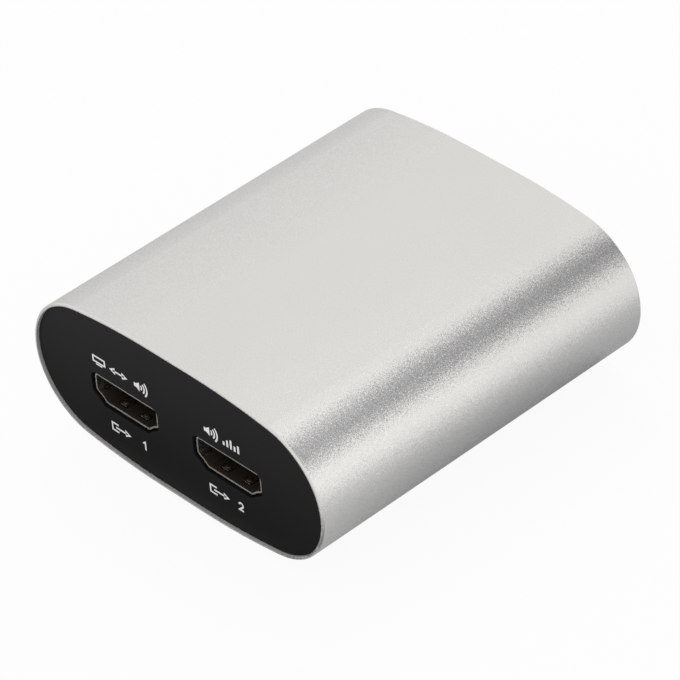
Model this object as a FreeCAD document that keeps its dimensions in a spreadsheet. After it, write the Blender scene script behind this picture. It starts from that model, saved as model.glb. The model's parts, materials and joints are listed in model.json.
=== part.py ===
import FreeCAD, Part
import math
import operator
import os
from types import SimpleNamespace

import Sketcher

# A pocket-size HDMI audio extractor: an extruded aluminium sleeve of lens section, two black end panels,
# two HDMI outputs in front, and at the rear an HDMI input, a power socket, a mode switch and two lights.
# Frame: X is the width, +Y runs from the front panel to the rear one, +Z is up. The origin is at the
# middle of the footprint, on the plane that the rubber feet stand on. Lengths are millimetres.

SIZES = [
    # The sleeve and its lens section
    ("sleeve_width", 66.0, "outside width"),
    ("sleeve_height", 28.0, "outside height"),
    ("sleeve_depth", 70.0, "length of the extrusion"),
    ("crown_flat", 10.0, "width of the flat in the middle of the top and the belly"),
    ("crown_radius", 113.0, "radius of the crown on each side of the flat"),
    ("sleeve_wall", 1.6, "wall of the extrusion"),
    ("rim_wall", 0.5, "wall left round the end panels"),
    ("edge_break", 0.25, "chamfer on the outer end edges"),
    # End panels
    ("plate_thickness", 2.2, "end plate"),
    ("overlay_thickness", 0.2, "overlay film glued on the end plate"),
    ("overlay_recess", 0.55, "overlay face behind the sleeve's end"),
    ("seat_gap", 0.08, "panel to rim, all round"),
    ("window_gap", 0.35, "end plate to what passes through it"),
    ("overlay_margin", 0.42, "overlay to the HDMI shell that it frames"),
    ("cutter_excess", 1.0, "how far a window's cutter starts behind the panel"),
    # Screws and the ports in the sleeve that take them
    ("screw_radius", 1.25, "M2.5 thread"),
    ("screw_length", 8.0, "with its head"),
    ("screw_head_radius", 2.35, "countersunk head"),
    ("screw_head_height", 1.3, "countersunk head"),
    ("screw_gap", 0.05, "screw to its hole"),
    ("recess_length", 2.4, "arms of the cross recess"),
    ("recess_width", 0.6, "arms of the cross recess"),
    ("recess_depth", 0.9, "cross recess"),
    ("boss_radius", 2.2, "round port along the sleeve"),
    ("boss_bite", 0.4, "how far the port runs into the wall"),
    ("high_angle", 52.0, "direction of the upper ports from the nose centre, degrees"),
    ("low_angle", 75.0, "direction of the lower ports from the nose centre, degrees"),
    # Rubber feet
    ("stand_off", 0.8, "belly above the table"),
    ("foot_radius", 4.0, "at its top"),
    ("foot_taper", 0.3, "smaller at the table"),
    ("foot_side_inset", 15.0, "foot centre to the sleeve's side"),
    ("foot_end_inset", 10.0, "foot centre to the sleeve's end"),
    ("foot_gap", 0.03, "adhesive film under the belly"),
    # Main board and the rails that hold it
    ("board_thickness", 1.6, ""),
    ("board_side_gap", 0.3, "board edge to the wall"),
    ("board_end_gap", 0.5, "board to the end plates"),
    ("rail_grip", 1.2, "how far the rails reach over the board"),
    ("rail_thickness", 1.2, ""),
    ("rail_slip", 0.1, "board to rail"),
    ("slot_slip", 0.15, "board slot to the leg in it"),
    # HDMI sockets
    ("port_width", 14.0, "opening inside the shell"),
    ("port_height", 4.55, "opening inside the shell"),
    ("port_side", 3.0, "straight side, from the wide wall down"),
    ("shoulder_run", 2.15, "how far the shoulder comes in"),
    ("kink_run", 1.05, "from the side to the bend in the shoulder"),
    ("kink_drop", 0.55, "from the side's foot to the bend in the shoulder"),
    ("corner_radius", 0.5, "shell corners"),
    ("kink_radius", 1.2, "bend in the shoulder"),
    ("shell_sheet", 0.3, "folded sheet"),
    ("shell_depth", 11.0, ""),
    ("mouth_setback", 0.4, "mouth of the shell behind the overlay's face"),
    ("port_stand", 0.25, "shell above the board"),
    ("finger_offset", 2.4, "spring finger to the socket's middle"),
    ("finger_width", 1.5, ""),
    ("finger_slit", 0.25, "cut on each side of a finger"),
    ("finger_tip", 1.2, "free end behind the mouth"),
    ("finger_length", 5.6, "tip to root"),
    ("finger_tip_lift", 0.1, "free end above the wall"),
    ("dimple_place", 0.7, "finger's free end to the middle of its dimple"),
    ("dimple_lift", 0.25, "top of the dimple above the wall"),
    ("dimple_foot_radius", 0.6, ""),
    ("dimple_top_radius", 0.34, ""),
    ("leg_width", 1.2, "shell leg"),
    ("leg_front", 4.0, "mouth to the front legs"),
    ("leg_pitch", 5.0, "front legs to rear legs"),
    ("leg_tail", 0.6, "leg below the board"),
    ("block_front", 7.2, "mouth to the insulator block"),
    ("block_gap", 0.05, "insulator to shell"),
    ("heel_width", 13.0, "insulator behind the shell"),
    ("heel_depth", 1.6, "insulator behind the shell"),
    ("tongue_width", 11.3, ""),
    ("tongue_height", 1.2, ""),
    ("tongue_front", 2.0, "mouth to the tongue"),
    ("tongue_rise", 0.35, "tongue above the socket's middle"),
    ("contact_pitch", 1.0, ""),
    ("contact_count", 10, "strips on the tongue, with one less under it"),
    ("contact_width", 0.35, ""),
    ("contact_sheet", 0.2, ""),
    ("contact_setback", 0.3, "contact behind the tongue's front"),
    ("contact_foot", 1.1, "soldered foot on the board"),
    ("output_spacing", 23.5, "between the two outputs"),
    ("output_shift", -0.7, "middle of the outputs to the middle of the panel"),
    ("port_drop", 2.05, "socket below the middle of the panel"),
    ("input_place", -14.0, "HDMI input across the rear panel"),
    # Power socket
    ("jack_place", 16.5, "across the rear panel"),
    ("jack_width", 9.0, ""),
    ("jack_depth", 12.0, "body behind the end plate"),
    ("jack_rise", 6.5, "hole centre above the board"),
    ("jack_top", 4.5, "body above the hole centre"),
    ("jack_nose_radius", 3.9, ""),
    ("jack_bore_radius", 3.15, ""),
    ("jack_bore_depth", 10.5, ""),
    ("jack_pin_radius", 1.0, ""),
    ("jack_pin_setback", 2.1, "pin tip behind the mouth"),
    ("jack_pin_flange", 1.8, "radius of the pin's riveted head"),
    ("terminal_sheet", 0.4, "sheet of the tails and the spring"),
    ("terminal_width", 2.0, ""),
    ("terminal_tail", 2.2, "tail below the board's top"),
    ("jack_spring_lift", 0.6, "spring above the foot of the bore"),
    ("jack_spring_reach", 7.0, "length of the spring arm"),
    ("jack_spring_inset", 1.6, "root of the spring to the body's end"),
    # Mode switch
    ("switch_place", 0.5, "across the rear panel"),
    ("switch_width", 12.6, "frame"),
    ("switch_depth", 4.0, "frame"),
    ("switch_height", 4.4, "frame above the board"),
    ("switch_sheet", 0.3, "frame"),
    ("switch_gap", 0.1, "frame to end plate, and slider to frame"),
    ("switch_base_height", 1.0, ""),
    ("switch_travel", 2.0, "slider to each side of its middle"),
    ("lever_width", 2.2, ""),
    ("lever_height", 1.5, ""),
    ("lever_rise", 2.6, "lever centre above the board"),
    ("lever_reach", 2.2, "lever in front of the frame"),
    ("carrier_width", 5.2, "slider inside the frame"),
    ("carrier_height", 2.2, ""),
    ("wiper_width", 3.6, ""),
    ("wiper_depth", 1.6, ""),
    ("wiper_sheet", 0.2, ""),
    ("wiper_gap", 0.05, "wiper to the terminals"),
    ("switch_pin_width", 0.8, ""),
    ("switch_pin_pitch", 2.5, ""),
    ("switch_pin_count", 4, ""),
    # Lights
    ("light_place", 8.9, "first light pipe across the rear panel"),
    ("light_pitch", 2.1, "between the two light pipes"),
    ("light_radius", 0.8, ""),
    ("light_gap", 0.05, "pipe to its hole"),
    ("light_rise", 4.0, "pipe above the board"),
    ("light_run", 6.0, "panel face to the pipe's bend"),
    ("led_width", 0.9, ""),
    ("led_depth", 1.6, ""),
    ("led_height", 0.7, ""),
    ("led_gap", 0.2, "LED to light pipe"),
    # Main processor with its heat sink
    ("processor_width", 12.0, ""),
    ("processor_height", 1.0, ""),
    ("processor_shift", -1.0, "from the board's middle towards the rear"),
    ("thermal_pad_width", 11.0, ""),
    ("thermal_pad_height", 0.5, ""),
    ("sink_width", 14.0, ""),
    ("sink_base", 1.2, ""),
    ("fin_height", 3.5, ""),
    ("fin_thickness", 0.8, ""),
    ("fin_count", 6, ""),
    # Other parts on the board
    ("controller_width", 7.0, ""),
    ("controller_height", 0.9, ""),
    ("controller_side_gap", 9.65, "controller to the board's side edge"),
    ("audio_chip_width", 6.0, ""),
    ("audio_chip_side_gap", 8.65, "audio chip to the board's side edge"),
    ("audio_chip_shift", -10.0, "towards the rear"),
    ("flash_width", 4.0, ""),
    ("flash_length", 5.0, ""),
    ("flash_height", 1.5, ""),
    ("flash_shift", 11.0, "towards the rear"),
    ("flash_leads", 4, "leads on each side"),
    ("lead_pitch", 1.27, ""),
    ("lead_width", 0.4, ""),
    ("lead_reach", 1.0, ""),
    ("lead_sheet", 0.2, ""),
    ("crystal_length", 3.2, ""),
    ("crystal_width", 2.5, ""),
    ("crystal_height", 0.8, ""),
    ("crystal_gap", 1.5, "crystal to the chip that it clocks"),
    ("inductor_width", 6.0, ""),
    ("inductor_height", 3.0, ""),
    ("inductor_shift", 1.5, "towards the rear"),
    ("inductor_cap_height", 0.4, "metal end terminals"),
    ("can_radius", 3.15, "electrolytic capacitor"),
    ("can_height", 5.0, ""),
    ("can_base_width", 6.6, ""),
    ("can_base_height", 0.8, ""),
    ("can_pitch", 7.5, "between the two cans"),
    ("can_side_gap", 1.85, "can base to the board's side edge"),
    ("can_shift", -6.0, "first can, towards the rear"),
    ("regulator_length", 6.5, ""),
    ("regulator_width", 3.5, ""),
    ("regulator_height", 1.6, ""),
    ("regulator_place", 9.5, "across the board"),
    ("regulator_shift", 13.5, "towards the rear"),
    ("regulator_pitch", 8.5, "between the two regulators"),
    ("chip_part_length", 1.6, "ceramic capacitor"),
    ("chip_part_width", 0.8, ""),
    ("chip_part_height", 0.8, ""),
    ("chip_part_gap", 1.0, "capacitor to the processor's edge"),
    ("chip_part_pitch", 2.4, ""),
    ("chip_part_count", 4, "capacitors on each side of the processor"),
    ("resistor_length", 1.0, ""),
    ("resistor_width", 0.5, ""),
    ("resistor_height", 0.35, ""),
    ("resistor_pitch", 1.3, ""),
    ("resistor_count", 8, "resistors in a row"),
    ("resistor_gap", 2.2, "row to the ESD arrays in front of it"),
    ("guard_length", 2.5, "ESD array"),
    ("guard_width", 1.0, ""),
    ("guard_height", 0.5, ""),
    ("guard_gap", 0.8, "ESD array behind the contact feet"),
    ("guard_pitch", 3.5, "between the two arrays of a socket"),
]

ALONG_X = FreeCAD.Vector(1, 0, 0)
ALONG_Y = FreeCAD.Vector(0, 1, 0)
ALONG_Z = FreeCAD.Vector(0, 0, 1)
# A drawing's own X and Y become X and Z on the front plane, and Y and Z on the side plane.
FRONT_PLANE = FreeCAD.Rotation(ALONG_X, 90)
SIDE_PLANE = FreeCAD.Rotation(FreeCAD.Vector(1, 1, 1), 120)
FACING_REAR = FreeCAD.Rotation(ALONG_Z, 180)
UPRIGHT = FreeCAD.Rotation()
UPSIDE_DOWN = FreeCAD.Rotation(ALONG_X, 180)
LYING_ALONG_Y = FreeCAD.Rotation(ALONG_X, -90)

doc = FreeCAD.newDocument("hdmi_audio_extractor")
nodes = {}


# Sizes and the formulas made of them

OPERATIONS = {"+": operator.add, "-": operator.sub, "*": operator.mul, "/": operator.truediv}


class Formula:
    """A number together with the text that ties it to the cells of the sheet."""

    def __init__(self, text, value):
        self.text = text
        self.value = value

    def __add__(self, other):
        return combined(self, "+", other)

    def __radd__(self, other):
        return combined(other, "+", self)

    def __sub__(self, other):
        return combined(self, "-", other)

    def __rsub__(self, other):
        return combined(other, "-", self)

    def __mul__(self, other):
        return combined(self, "*", other)

    def __rmul__(self, other):
        return combined(other, "*", self)

    def __truediv__(self, other):
        return combined(self, "/", other)

    def __neg__(self):
        return combined(0, "-", self)


def formula(number):
    return number if isinstance(number, Formula) else Formula(str(number), number)


def combined(left, sign, right):
    left, right = formula(left), formula(right)
    return Formula(f"({left.text} {sign} {right.text})", OPERATIONS[sign](left.value, right.value))


def root(number):
    return Formula(f"sqrt({number.text})", math.sqrt(number.value))


def cosine(degrees):
    return Formula(f"cos({degrees.text} * 1 deg)", math.cos(math.radians(degrees.value)))


def sine(degrees):
    return Formula(f"sin({degrees.text} * 1 deg)", math.sin(math.radians(degrees.value)))


def make_sheet():
    """Writes the sizes into the spreadsheet and returns them as named formulas."""
    sheet = doc.addObject("Spreadsheet::Sheet", "Size")
    named = SimpleNamespace()
    for row, (name, value, note) in enumerate(SIZES, start=1):
        sheet.set(f"A{row}", name)
        sheet.set(f"B{row}", str(value))
        sheet.set(f"C{row}", note)
        sheet.setAlias(f"B{row}", name)
        setattr(named, name, Formula(f"Size.{name}", value))
    doc.recompute()
    return named


size = make_sheet()


# Helpers that add objects bound to the sheet

def bind(thing, path, number):
    thing.setExpression(path, formula(number).text)


def place(thing, x=0, y=0, z=0, turn=UPRIGHT):
    thing.Placement = FreeCAD.Placement(FreeCAD.Vector(), turn)
    for axis, number in (("x", x), ("y", y), ("z", z)):
        bind(thing, f"Placement.Base.{axis}", number)
    return thing


def box(name, low, high):
    """A block from its low corner to its high corner."""
    thing = doc.addObject("Part::Box", name)
    for side, start, end in zip(("Length", "Width", "Height"), low, high):
        bind(thing, side, end - start)
    return place(thing, *low)


def block(name, x, y, z, width, depth, height):
    """A block that stands on z, centred on x and y."""
    return box(name, (x - width / 2, y - depth / 2, z), (x + width / 2, y + depth / 2, z + height))


def rod(name, x, y, z, radius, length, turn=UPRIGHT):
    thing = doc.addObject("Part::Cylinder", name)
    bind(thing, "Radius", radius)
    bind(thing, "Height", length)
    return place(thing, x, y, z, turn)


def cone(name, x, y, z, start_radius, end_radius, length, turn=UPRIGHT):
    thing = doc.addObject("Part::Cone", name)
    bind(thing, "Radius1", start_radius)
    bind(thing, "Radius2", end_radius)
    bind(thing, "Height", length)
    return place(thing, x, y, z, turn)


def ball(name, x, y, z, radius):
    thing = doc.addObject("Part::Sphere", name)
    bind(thing, "Radius", radius)
    return place(thing, x, y, z)


def fused(name, *pieces):
    thing = doc.addObject("Part::MultiFuse", name)
    thing.Shapes = list(pieces)
    thing.Refine = True
    return thing


def cut(name, base, tool):
    thing = doc.addObject("Part::Cut", name)
    thing.Base = base
    thing.Tool = tool
    thing.Refine = True
    return thing


def group(name, pieces):
    thing = doc.addObject("Part::Compound", name)
    thing.Links = list(pieces)
    return thing


def copy_of(name, thing, x=0, y=0, z=0, turn=UPRIGHT):
    """One more of a piece that is drawn once, set at its own place."""
    return place(group(name, [thing]), x, y, z, turn)


def node(label, thing):
    """Names a finished sub-part, which gets a file of its own."""
    thing.Label = label
    nodes[label] = thing
    return thing


# Drawings

def drawing(name, plane):
    sketch = doc.addObject("Sketcher::SketchObject", name)
    sketch.Placement = FreeCAD.Placement(FreeCAD.Vector(), plane)
    return sketch


def held(sketch, kind, *where):
    """Adds a constraint whose last entry is its size, bound to the sheet."""
    number = formula(where[-1])
    index = sketch.addConstraint(Sketcher.Constraint(kind, *where[:-1], number.value))
    sketch.setExpression(f"Constraints[{index}]", number.text)


def pin_point(sketch, edge, end, x, y):
    """Holds one end of an edge at x, y from the drawing's origin."""
    held(sketch, "DistanceX", -1, 1, edge, end, x)
    held(sketch, "DistanceY", -1, 1, edge, end, y)


def draw_polygon(sketch, corners):
    """A closed outline of straight lines through corners given as x, y."""
    first = sketch.GeometryCount
    count = len(corners)
    spots = [FreeCAD.Vector(formula(x).value, formula(y).value, 0) for x, y in corners]
    for index in range(count):
        sketch.addGeometry(Part.LineSegment(spots[index], spots[(index + 1) % count]), False)
    for index, (x, y) in enumerate(corners):
        following = first + (index + 1) % count
        sketch.addConstraint(Sketcher.Constraint("Coincident", first + index, 2, following, 1))
        pin_point(sketch, first + index, 1, x, y)


def draw_rectangle(sketch, left, bottom, right, top):
    draw_polygon(sketch, [(left, bottom), (right, bottom), (right, top), (left, top)])


def draw_circle(sketch, x, y, radius):
    edge = sketch.GeometryCount
    centre = FreeCAD.Vector(formula(x).value, formula(y).value, 0)
    sketch.addGeometry(Part.Circle(centre, ALONG_Z, formula(radius).value), False)
    pin_point(sketch, edge, 3, x, y)
    held(sketch, "Radius", edge, radius)


def corner_arc(before, corner, after, radius):
    """The arc that rounds a corner, as centre, start angle, end angle and whether it bends outwards."""
    coming = (before - corner).normalize()
    going = (after - corner).normalize()
    half = coming.getAngle(going) / 2
    centre = corner + (coming + going).normalize() * (radius / math.sin(half))
    reach = radius / math.tan(half)
    touching = [corner + coming * reach, corner + going * reach]
    outwards = (corner - before).cross(after - corner).z > 0
    if not outwards:
        touching.reverse()
    start, end = (math.atan2(spot.y - centre.y, spot.x - centre.x) for spot in touching)
    return centre, start, end, outwards


def draw_rounded(sketch, corners):
    """A closed outline of lines with rounded corners, anticlockwise, from x, y and radius."""
    count = len(corners)
    spots = [FreeCAD.Vector(x.value, y.value, 0) for x, y, radius in corners]
    arcs = []
    for index, (x, y, radius) in enumerate(corners):
        before, after = spots[index - 1], spots[(index + 1) % count]
        centre, start, end, outwards = corner_arc(before, spots[index], after, radius.value)
        circle = Part.Circle(centre, ALONG_Z, radius.value)
        arc = Part.ArcOfCircle(circle, start, end if end > start else end + 2 * math.pi)
        arcs.append((arc, outwards))
    for index, (arc, outwards) in enumerate(arcs):
        following, outwards_next = arcs[(index + 1) % count]
        leaves = arc.EndPoint if outwards else arc.StartPoint
        arrives = following.StartPoint if outwards_next else following.EndPoint
        sketch.addGeometry(arc, False)
        sketch.addGeometry(Part.LineSegment(leaves, arrives), False)
        sketch.addGeometry(Part.Point(spots[index]), True)
    for index, (x, y, radius) in enumerate(corners):
        arc, line, spot = 3 * index, 3 * index + 1, 3 * index + 2
        last_line = 3 * ((index - 1) % count) + 1
        entry, leave = (1, 2) if arcs[index][1] else (2, 1)
        pin_point(sketch, spot, 1, x, y)
        sketch.addConstraint(Sketcher.Constraint("PointOnObject", spot, 1, line))
        sketch.addConstraint(Sketcher.Constraint("PointOnObject", spot, 1, last_line))
        sketch.addConstraint(Sketcher.Constraint("Tangent", last_line, 2, arc, entry))
        sketch.addConstraint(Sketcher.Constraint("Tangent", arc, leave, line, 1))
        held(sketch, "Radius", arc, radius)


def lens_centres():
    """The nose circle of the sleeve's section: its radius, and its centre beside the middle."""
    reach = (size.sleeve_width - size.crown_flat) / 2
    rise = size.sleeve_height / 2
    doubled = 2 * size.crown_radius
    radius = (doubled * rise - reach * reach - rise * rise) / (doubled - 2 * reach)
    return radius, size.sleeve_width / 2 - radius


NOSE_RADIUS, NOSE_PLACE = lens_centres()


def draw_lens(sketch, inset):
    """The sleeve's section, moved in by inset: flats, crowns and noses that run into each other."""
    flat = size.crown_flat / 2
    half_width = size.sleeve_width / 2 - inset
    half_height = size.sleeve_height / 2 - inset
    crown = size.crown_radius - inset
    nose_radius = NOSE_RADIUS.value - formula(inset).value
    crown_drop = crown.value - half_height.value
    turn = math.atan2(crown_drop, NOSE_PLACE.value - flat.value)
    right, left = flat.value, -flat.value
    up, down = half_height.value, -half_height.value

    def arc(x, y, radius, start, end):
        return Part.ArcOfCircle(Part.Circle(FreeCAD.Vector(x, y, 0), ALONG_Z, radius), start, end)

    def line(start_x, end_x, y):
        return Part.LineSegment(FreeCAD.Vector(start_x, y, 0), FreeCAD.Vector(end_x, y, 0))

    quarter, half, full = math.pi / 2, math.pi, 2 * math.pi
    nose = NOSE_PLACE.value
    for edge in (
        line(right, left, up),
        arc(left, -crown_drop, crown.value, quarter, half - turn),
        arc(-nose, 0, nose_radius, half - turn, half + turn),
        arc(left, crown_drop, crown.value, half + turn, half + quarter),
        line(left, right, down),
        arc(right, crown_drop, crown.value, half + quarter, full - turn),
        arc(nose, 0, nose_radius, -turn, turn),
        arc(right, -crown_drop, crown.value, turn, quarter),
    ):
        sketch.addGeometry(edge, False)
    top, top_left, left_nose, low_left, belly, low_right, right_nose, top_right = range(8)
    for edge in range(8):
        sketch.addConstraint(Sketcher.Constraint("Tangent", edge, 2, (edge + 1) % 8, 1))
    for edge, x, y in ((top, flat, half_height), (belly, -flat, -half_height)):
        sketch.addConstraint(Sketcher.Constraint("Horizontal", edge))
        pin_point(sketch, edge, 1, x, y)
        held(sketch, "DistanceX", -1, 1, edge, 2, -x)
    for edge in (top_left, low_left, low_right, top_right):
        held(sketch, "Radius", edge, crown)
    for edge, x in ((left_nose, -half_width), (right_nose, half_width)):
        tip = sketch.addGeometry(Part.Point(FreeCAD.Vector(x.value, 0, 0)), True)
        sketch.addConstraint(Sketcher.Constraint("PointOnObject", tip, 1, edge))
        pin_point(sketch, tip, 1, x, 0)


def prism(name, sketch, length, direction=ALONG_Y, x=0, y=0, z=0):
    thing = doc.addObject("Part::Extrusion", name)
    thing.Base = sketch
    thing.DirMode = "Custom"
    thing.Dir = direction
    thing.Solid = True
    bind(thing, "LengthFwd", length)
    return place(thing, x, y, z)


def lens(name, inset, start, end):
    """A lens-shaped slab of the sleeve's section, moved in by inset, from one depth to another."""
    sketch = drawing(name + "_outline", FRONT_PLANE)
    draw_lens(sketch, inset)
    return prism(name, sketch, end - start, y=start, z=MIDDLE)


# PartDesign bodies

def body(name, x=0, y=0, z=0, turn=UPRIGHT):
    thing = doc.addObject("PartDesign::Body", name)
    return place(thing, x, y, z, turn)


def body_sketch(thing, name, plane, offset=0):
    """A drawing on one of the body's own planes, moved along that plane's normal by offset."""
    sketch = thing.newObject("Sketcher::SketchObject", name)
    origin_plane = next(part for part in thing.Origin.OriginFeatures if part.Role == plane)
    sketch.AttachmentSupport = (origin_plane, [""])
    sketch.MapMode = "FlatFace"
    bind(sketch, "AttachmentOffset.Base.z", offset)
    return sketch


def pad(thing, name, sketch, length, reverse=False):
    feature = thing.newObject("PartDesign::Pad", name)
    feature.Profile = sketch
    bind(feature, "Length", length)
    feature.Reversed = reverse
    return feature


def pocket(thing, name, sketch, length, reverse=False):
    feature = thing.newObject("PartDesign::Pocket", name)
    feature.Profile = sketch
    bind(feature, "Length", length)
    feature.Reversed = reverse
    return feature


# Places that several sub-parts share

MIDDLE = size.stand_off + size.sleeve_height / 2
FRONT = -size.sleeve_depth / 2
REAR = size.sleeve_depth / 2
SEAT_DEPTH = size.overlay_recess + size.overlay_thickness + size.plate_thickness
CUTTER_LENGTH = SEAT_DEPTH + size.cutter_excess
FACE_FRONT = FRONT + size.overlay_recess
FACE_REAR = REAR - size.overlay_recess
PLATE_FRONT = FACE_FRONT + size.overlay_thickness
PLATE_REAR = FACE_REAR - size.overlay_thickness
INSIDE_FRONT = FRONT + SEAT_DEPTH
INSIDE_REAR = REAR - SEAT_DEPTH
PORT_LEVEL = MIDDLE - size.port_drop
PORT_FOOT = -(size.port_height / 2 + size.shell_sheet + size.port_stand)
BOARD_TOP = PORT_LEVEL + PORT_FOOT
BOARD_UNDER = BOARD_TOP - size.board_thickness
SOCKET_DEPTH = size.shell_depth + size.heel_depth
MOUTH_FRONT = FACE_FRONT + size.mouth_setback
MOUTH_REAR = FACE_REAR - size.mouth_setback
JACK_NOSE = size.overlay_thickness + size.plate_thickness + size.switch_gap
JACK_BODY_END = JACK_NOSE + size.jack_depth
JACK_SPRING_ROOT = JACK_BODY_END - size.jack_spring_inset
OUTPUTS = {
    "out1": size.output_shift - size.output_spacing / 2,
    "out2": size.output_shift + size.output_spacing / 2,
}


def nose_reach(inset, height):
    """How far the sleeve's nose, moved in by inset, reaches sideways at a height from its middle."""
    radius = NOSE_RADIUS - inset
    return NOSE_PLACE + root(radius * radius - height * height)


BOARD_HALF = nose_reach(size.sleeve_wall, MIDDLE - BOARD_UNDER) - size.board_side_gap
CONTROLLER_PLACE = -BOARD_HALF + size.controller_side_gap + size.controller_width / 2
AUDIO_CHIP_PLACE = BOARD_HALF - size.audio_chip_side_gap - size.audio_chip_width / 2
CAN_PLACE = -BOARD_HALF + size.can_side_gap + size.can_base_width / 2


def screw_places():
    """The four screw ports as x and z, each tucked against the wall of a nose."""
    distance = NOSE_RADIUS - size.sleeve_wall + size.boss_bite - size.boss_radius
    high_x = NOSE_PLACE + distance * cosine(size.high_angle)
    high_z = distance * sine(size.high_angle)
    low_x = NOSE_PLACE + distance * cosine(size.low_angle)
    low_z = -distance * sine(size.low_angle)
    return [(-high_x, high_z), (high_x, high_z), (-low_x, low_z), (low_x, low_z)]


SCREWS = screw_places()


# Housing

def make_sleeve():
    sleeve = body("sleeve", z=MIDDLE)

    outline = body_sketch(sleeve, "sleeve_outline", "XZ_Plane", -FRONT)
    draw_lens(outline, 0)
    blank = pad(sleeve, "sleeve_blank", outline, size.sleeve_depth, reverse=True)
    doc.recompute()

    ends = [
        f"Face{index}" for index, face in enumerate(blank.Shape.Faces, start=1)
        if abs(face.normalAt(0, 0).y) > 0.9 and isinstance(face.Surface, Part.Plane)
    ]
    broken = sleeve.newObject("PartDesign::Chamfer", "sleeve_edge_break")
    broken.Base = (blank, ends)
    bind(broken, "Size", size.edge_break)

    bore = body_sketch(sleeve, "sleeve_bore_outline", "XZ_Plane", -FRONT)
    draw_lens(bore, size.sleeve_wall)
    pocket(sleeve, "sleeve_bore", bore, size.sleeve_depth)

    rails = body_sketch(sleeve, "rail_outline", "XZ_Plane", -INSIDE_FRONT)
    under, top = BOARD_UNDER - MIDDLE - size.rail_slip, BOARD_TOP - MIDDLE + size.rail_slip
    reach = BOARD_HALF - size.rail_grip
    for low, high in ((under - size.rail_thickness, under), (top, top + size.rail_thickness)):
        low_wall = nose_reach(size.sleeve_wall / 2, low)
        high_wall = nose_reach(size.sleeve_wall / 2, high)
        draw_polygon(rails, [(reach, low), (low_wall, low), (high_wall, high), (reach, high)])
        draw_polygon(rails, [(-reach, low), (-reach, high), (-high_wall, high), (-low_wall, low)])
    pad(sleeve, "rails", rails, INSIDE_REAR - INSIDE_FRONT, reverse=True)

    bosses = body_sketch(sleeve, "boss_outline", "XZ_Plane", -INSIDE_FRONT)
    for x, z in SCREWS:
        draw_circle(bosses, x, z, size.boss_radius)
    pad(sleeve, "bosses", bosses, INSIDE_REAR - INSIDE_FRONT, reverse=True)

    pilots = body_sketch(sleeve, "pilot_outline", "XZ_Plane", -FRONT)
    for x, z in SCREWS:
        draw_circle(pilots, x, z, size.screw_radius + size.screw_gap)
    pocket(sleeve, "pilots", pilots, size.sleeve_depth)

    for name, start in (("front_seat", FRONT), ("rear_seat", INSIDE_REAR)):
        seat = body_sketch(sleeve, name + "_outline", "XZ_Plane", -start)
        draw_lens(seat, size.rim_wall)
        pocket(sleeve, name, seat, SEAT_DEPTH)
    node("housing_sleeve", sleeve)


def screw_cutter(name, x, z, face, turn):
    """The room that a countersunk screw needs, from an end plate's outer face inwards."""
    inwards = LYING_ALONG_Y if turn == UPRIGHT else FreeCAD.Rotation(ALONG_X, 90)
    head = cone(
        name + "_head", x, face, MIDDLE + z, size.screw_head_radius + size.screw_gap,
        size.screw_radius + size.screw_gap, size.screw_head_height, inwards,
    )
    shank = rod(
        name + "_shank", x, face, MIDDLE + z, size.screw_radius + size.screw_gap,
        CUTTER_LENGTH, inwards,
    )
    return [head, shank]


def socket_prism(name, grow, x, y, length, turn=UPRIGHT):
    """A bar of the HDMI outline, grown all round, at a socket's place in a panel."""
    grown = doc.addObject("Part::Offset2D", name + "_outline")
    grown.Source = SOCKET_OUTLINE
    grown.Join = "Arc"
    bind(grown, "Value", grow)
    bar = prism(name + "_bar", grown, length)
    return copy_of(name, bar, x, y, PORT_LEVEL, turn)


def make_panel(side, plate_openings, overlay_openings):
    """An end plate and its overlay, each cut by the bars given for it, with four screw holes."""
    front = side == "front"
    turn = UPRIGHT if front else FACING_REAR
    inset = size.rim_wall + size.seat_gap
    outer, inner = (PLATE_FRONT, INSIDE_FRONT) if front else (PLATE_REAR, INSIDE_REAR)
    face = FACE_FRONT if front else FACE_REAR
    cutters = list(plate_openings)
    for index, (x, z) in enumerate(SCREWS, start=1):
        cutters += screw_cutter(f"{side}_screw_room_{index}", x, z, outer, turn)
    slab = lens(f"{side}_plate_blank", inset, *((outer, inner) if front else (inner, outer)))
    room = fused(f"{side}_plate_room", *cutters)
    node(f"{side}_end_plate", cut(f"{side}_plate", slab, room))

    sheet = lens(f"{side}_overlay_blank", inset, *((face, outer) if front else (outer, face)))
    openings = fused(f"{side}_overlay_room", *overlay_openings)
    node(f"{side}_overlay", cut(f"{side}_overlay_sheet", sheet, openings))


def make_front_panel():
    plate_openings, overlay_openings = [], []
    gap = size.shell_sheet + size.window_gap
    margin = size.shell_sheet + size.overlay_margin
    for name, x in OUTPUTS.items():
        plate_openings.append(socket_prism(name + "_plate_window", gap, x, FRONT, CUTTER_LENGTH))
        overlay_openings.append(socket_prism(name + "_overlay_window", margin, x, FRONT, CUTTER_LENGTH))
    make_panel("front", plate_openings, overlay_openings)


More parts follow.
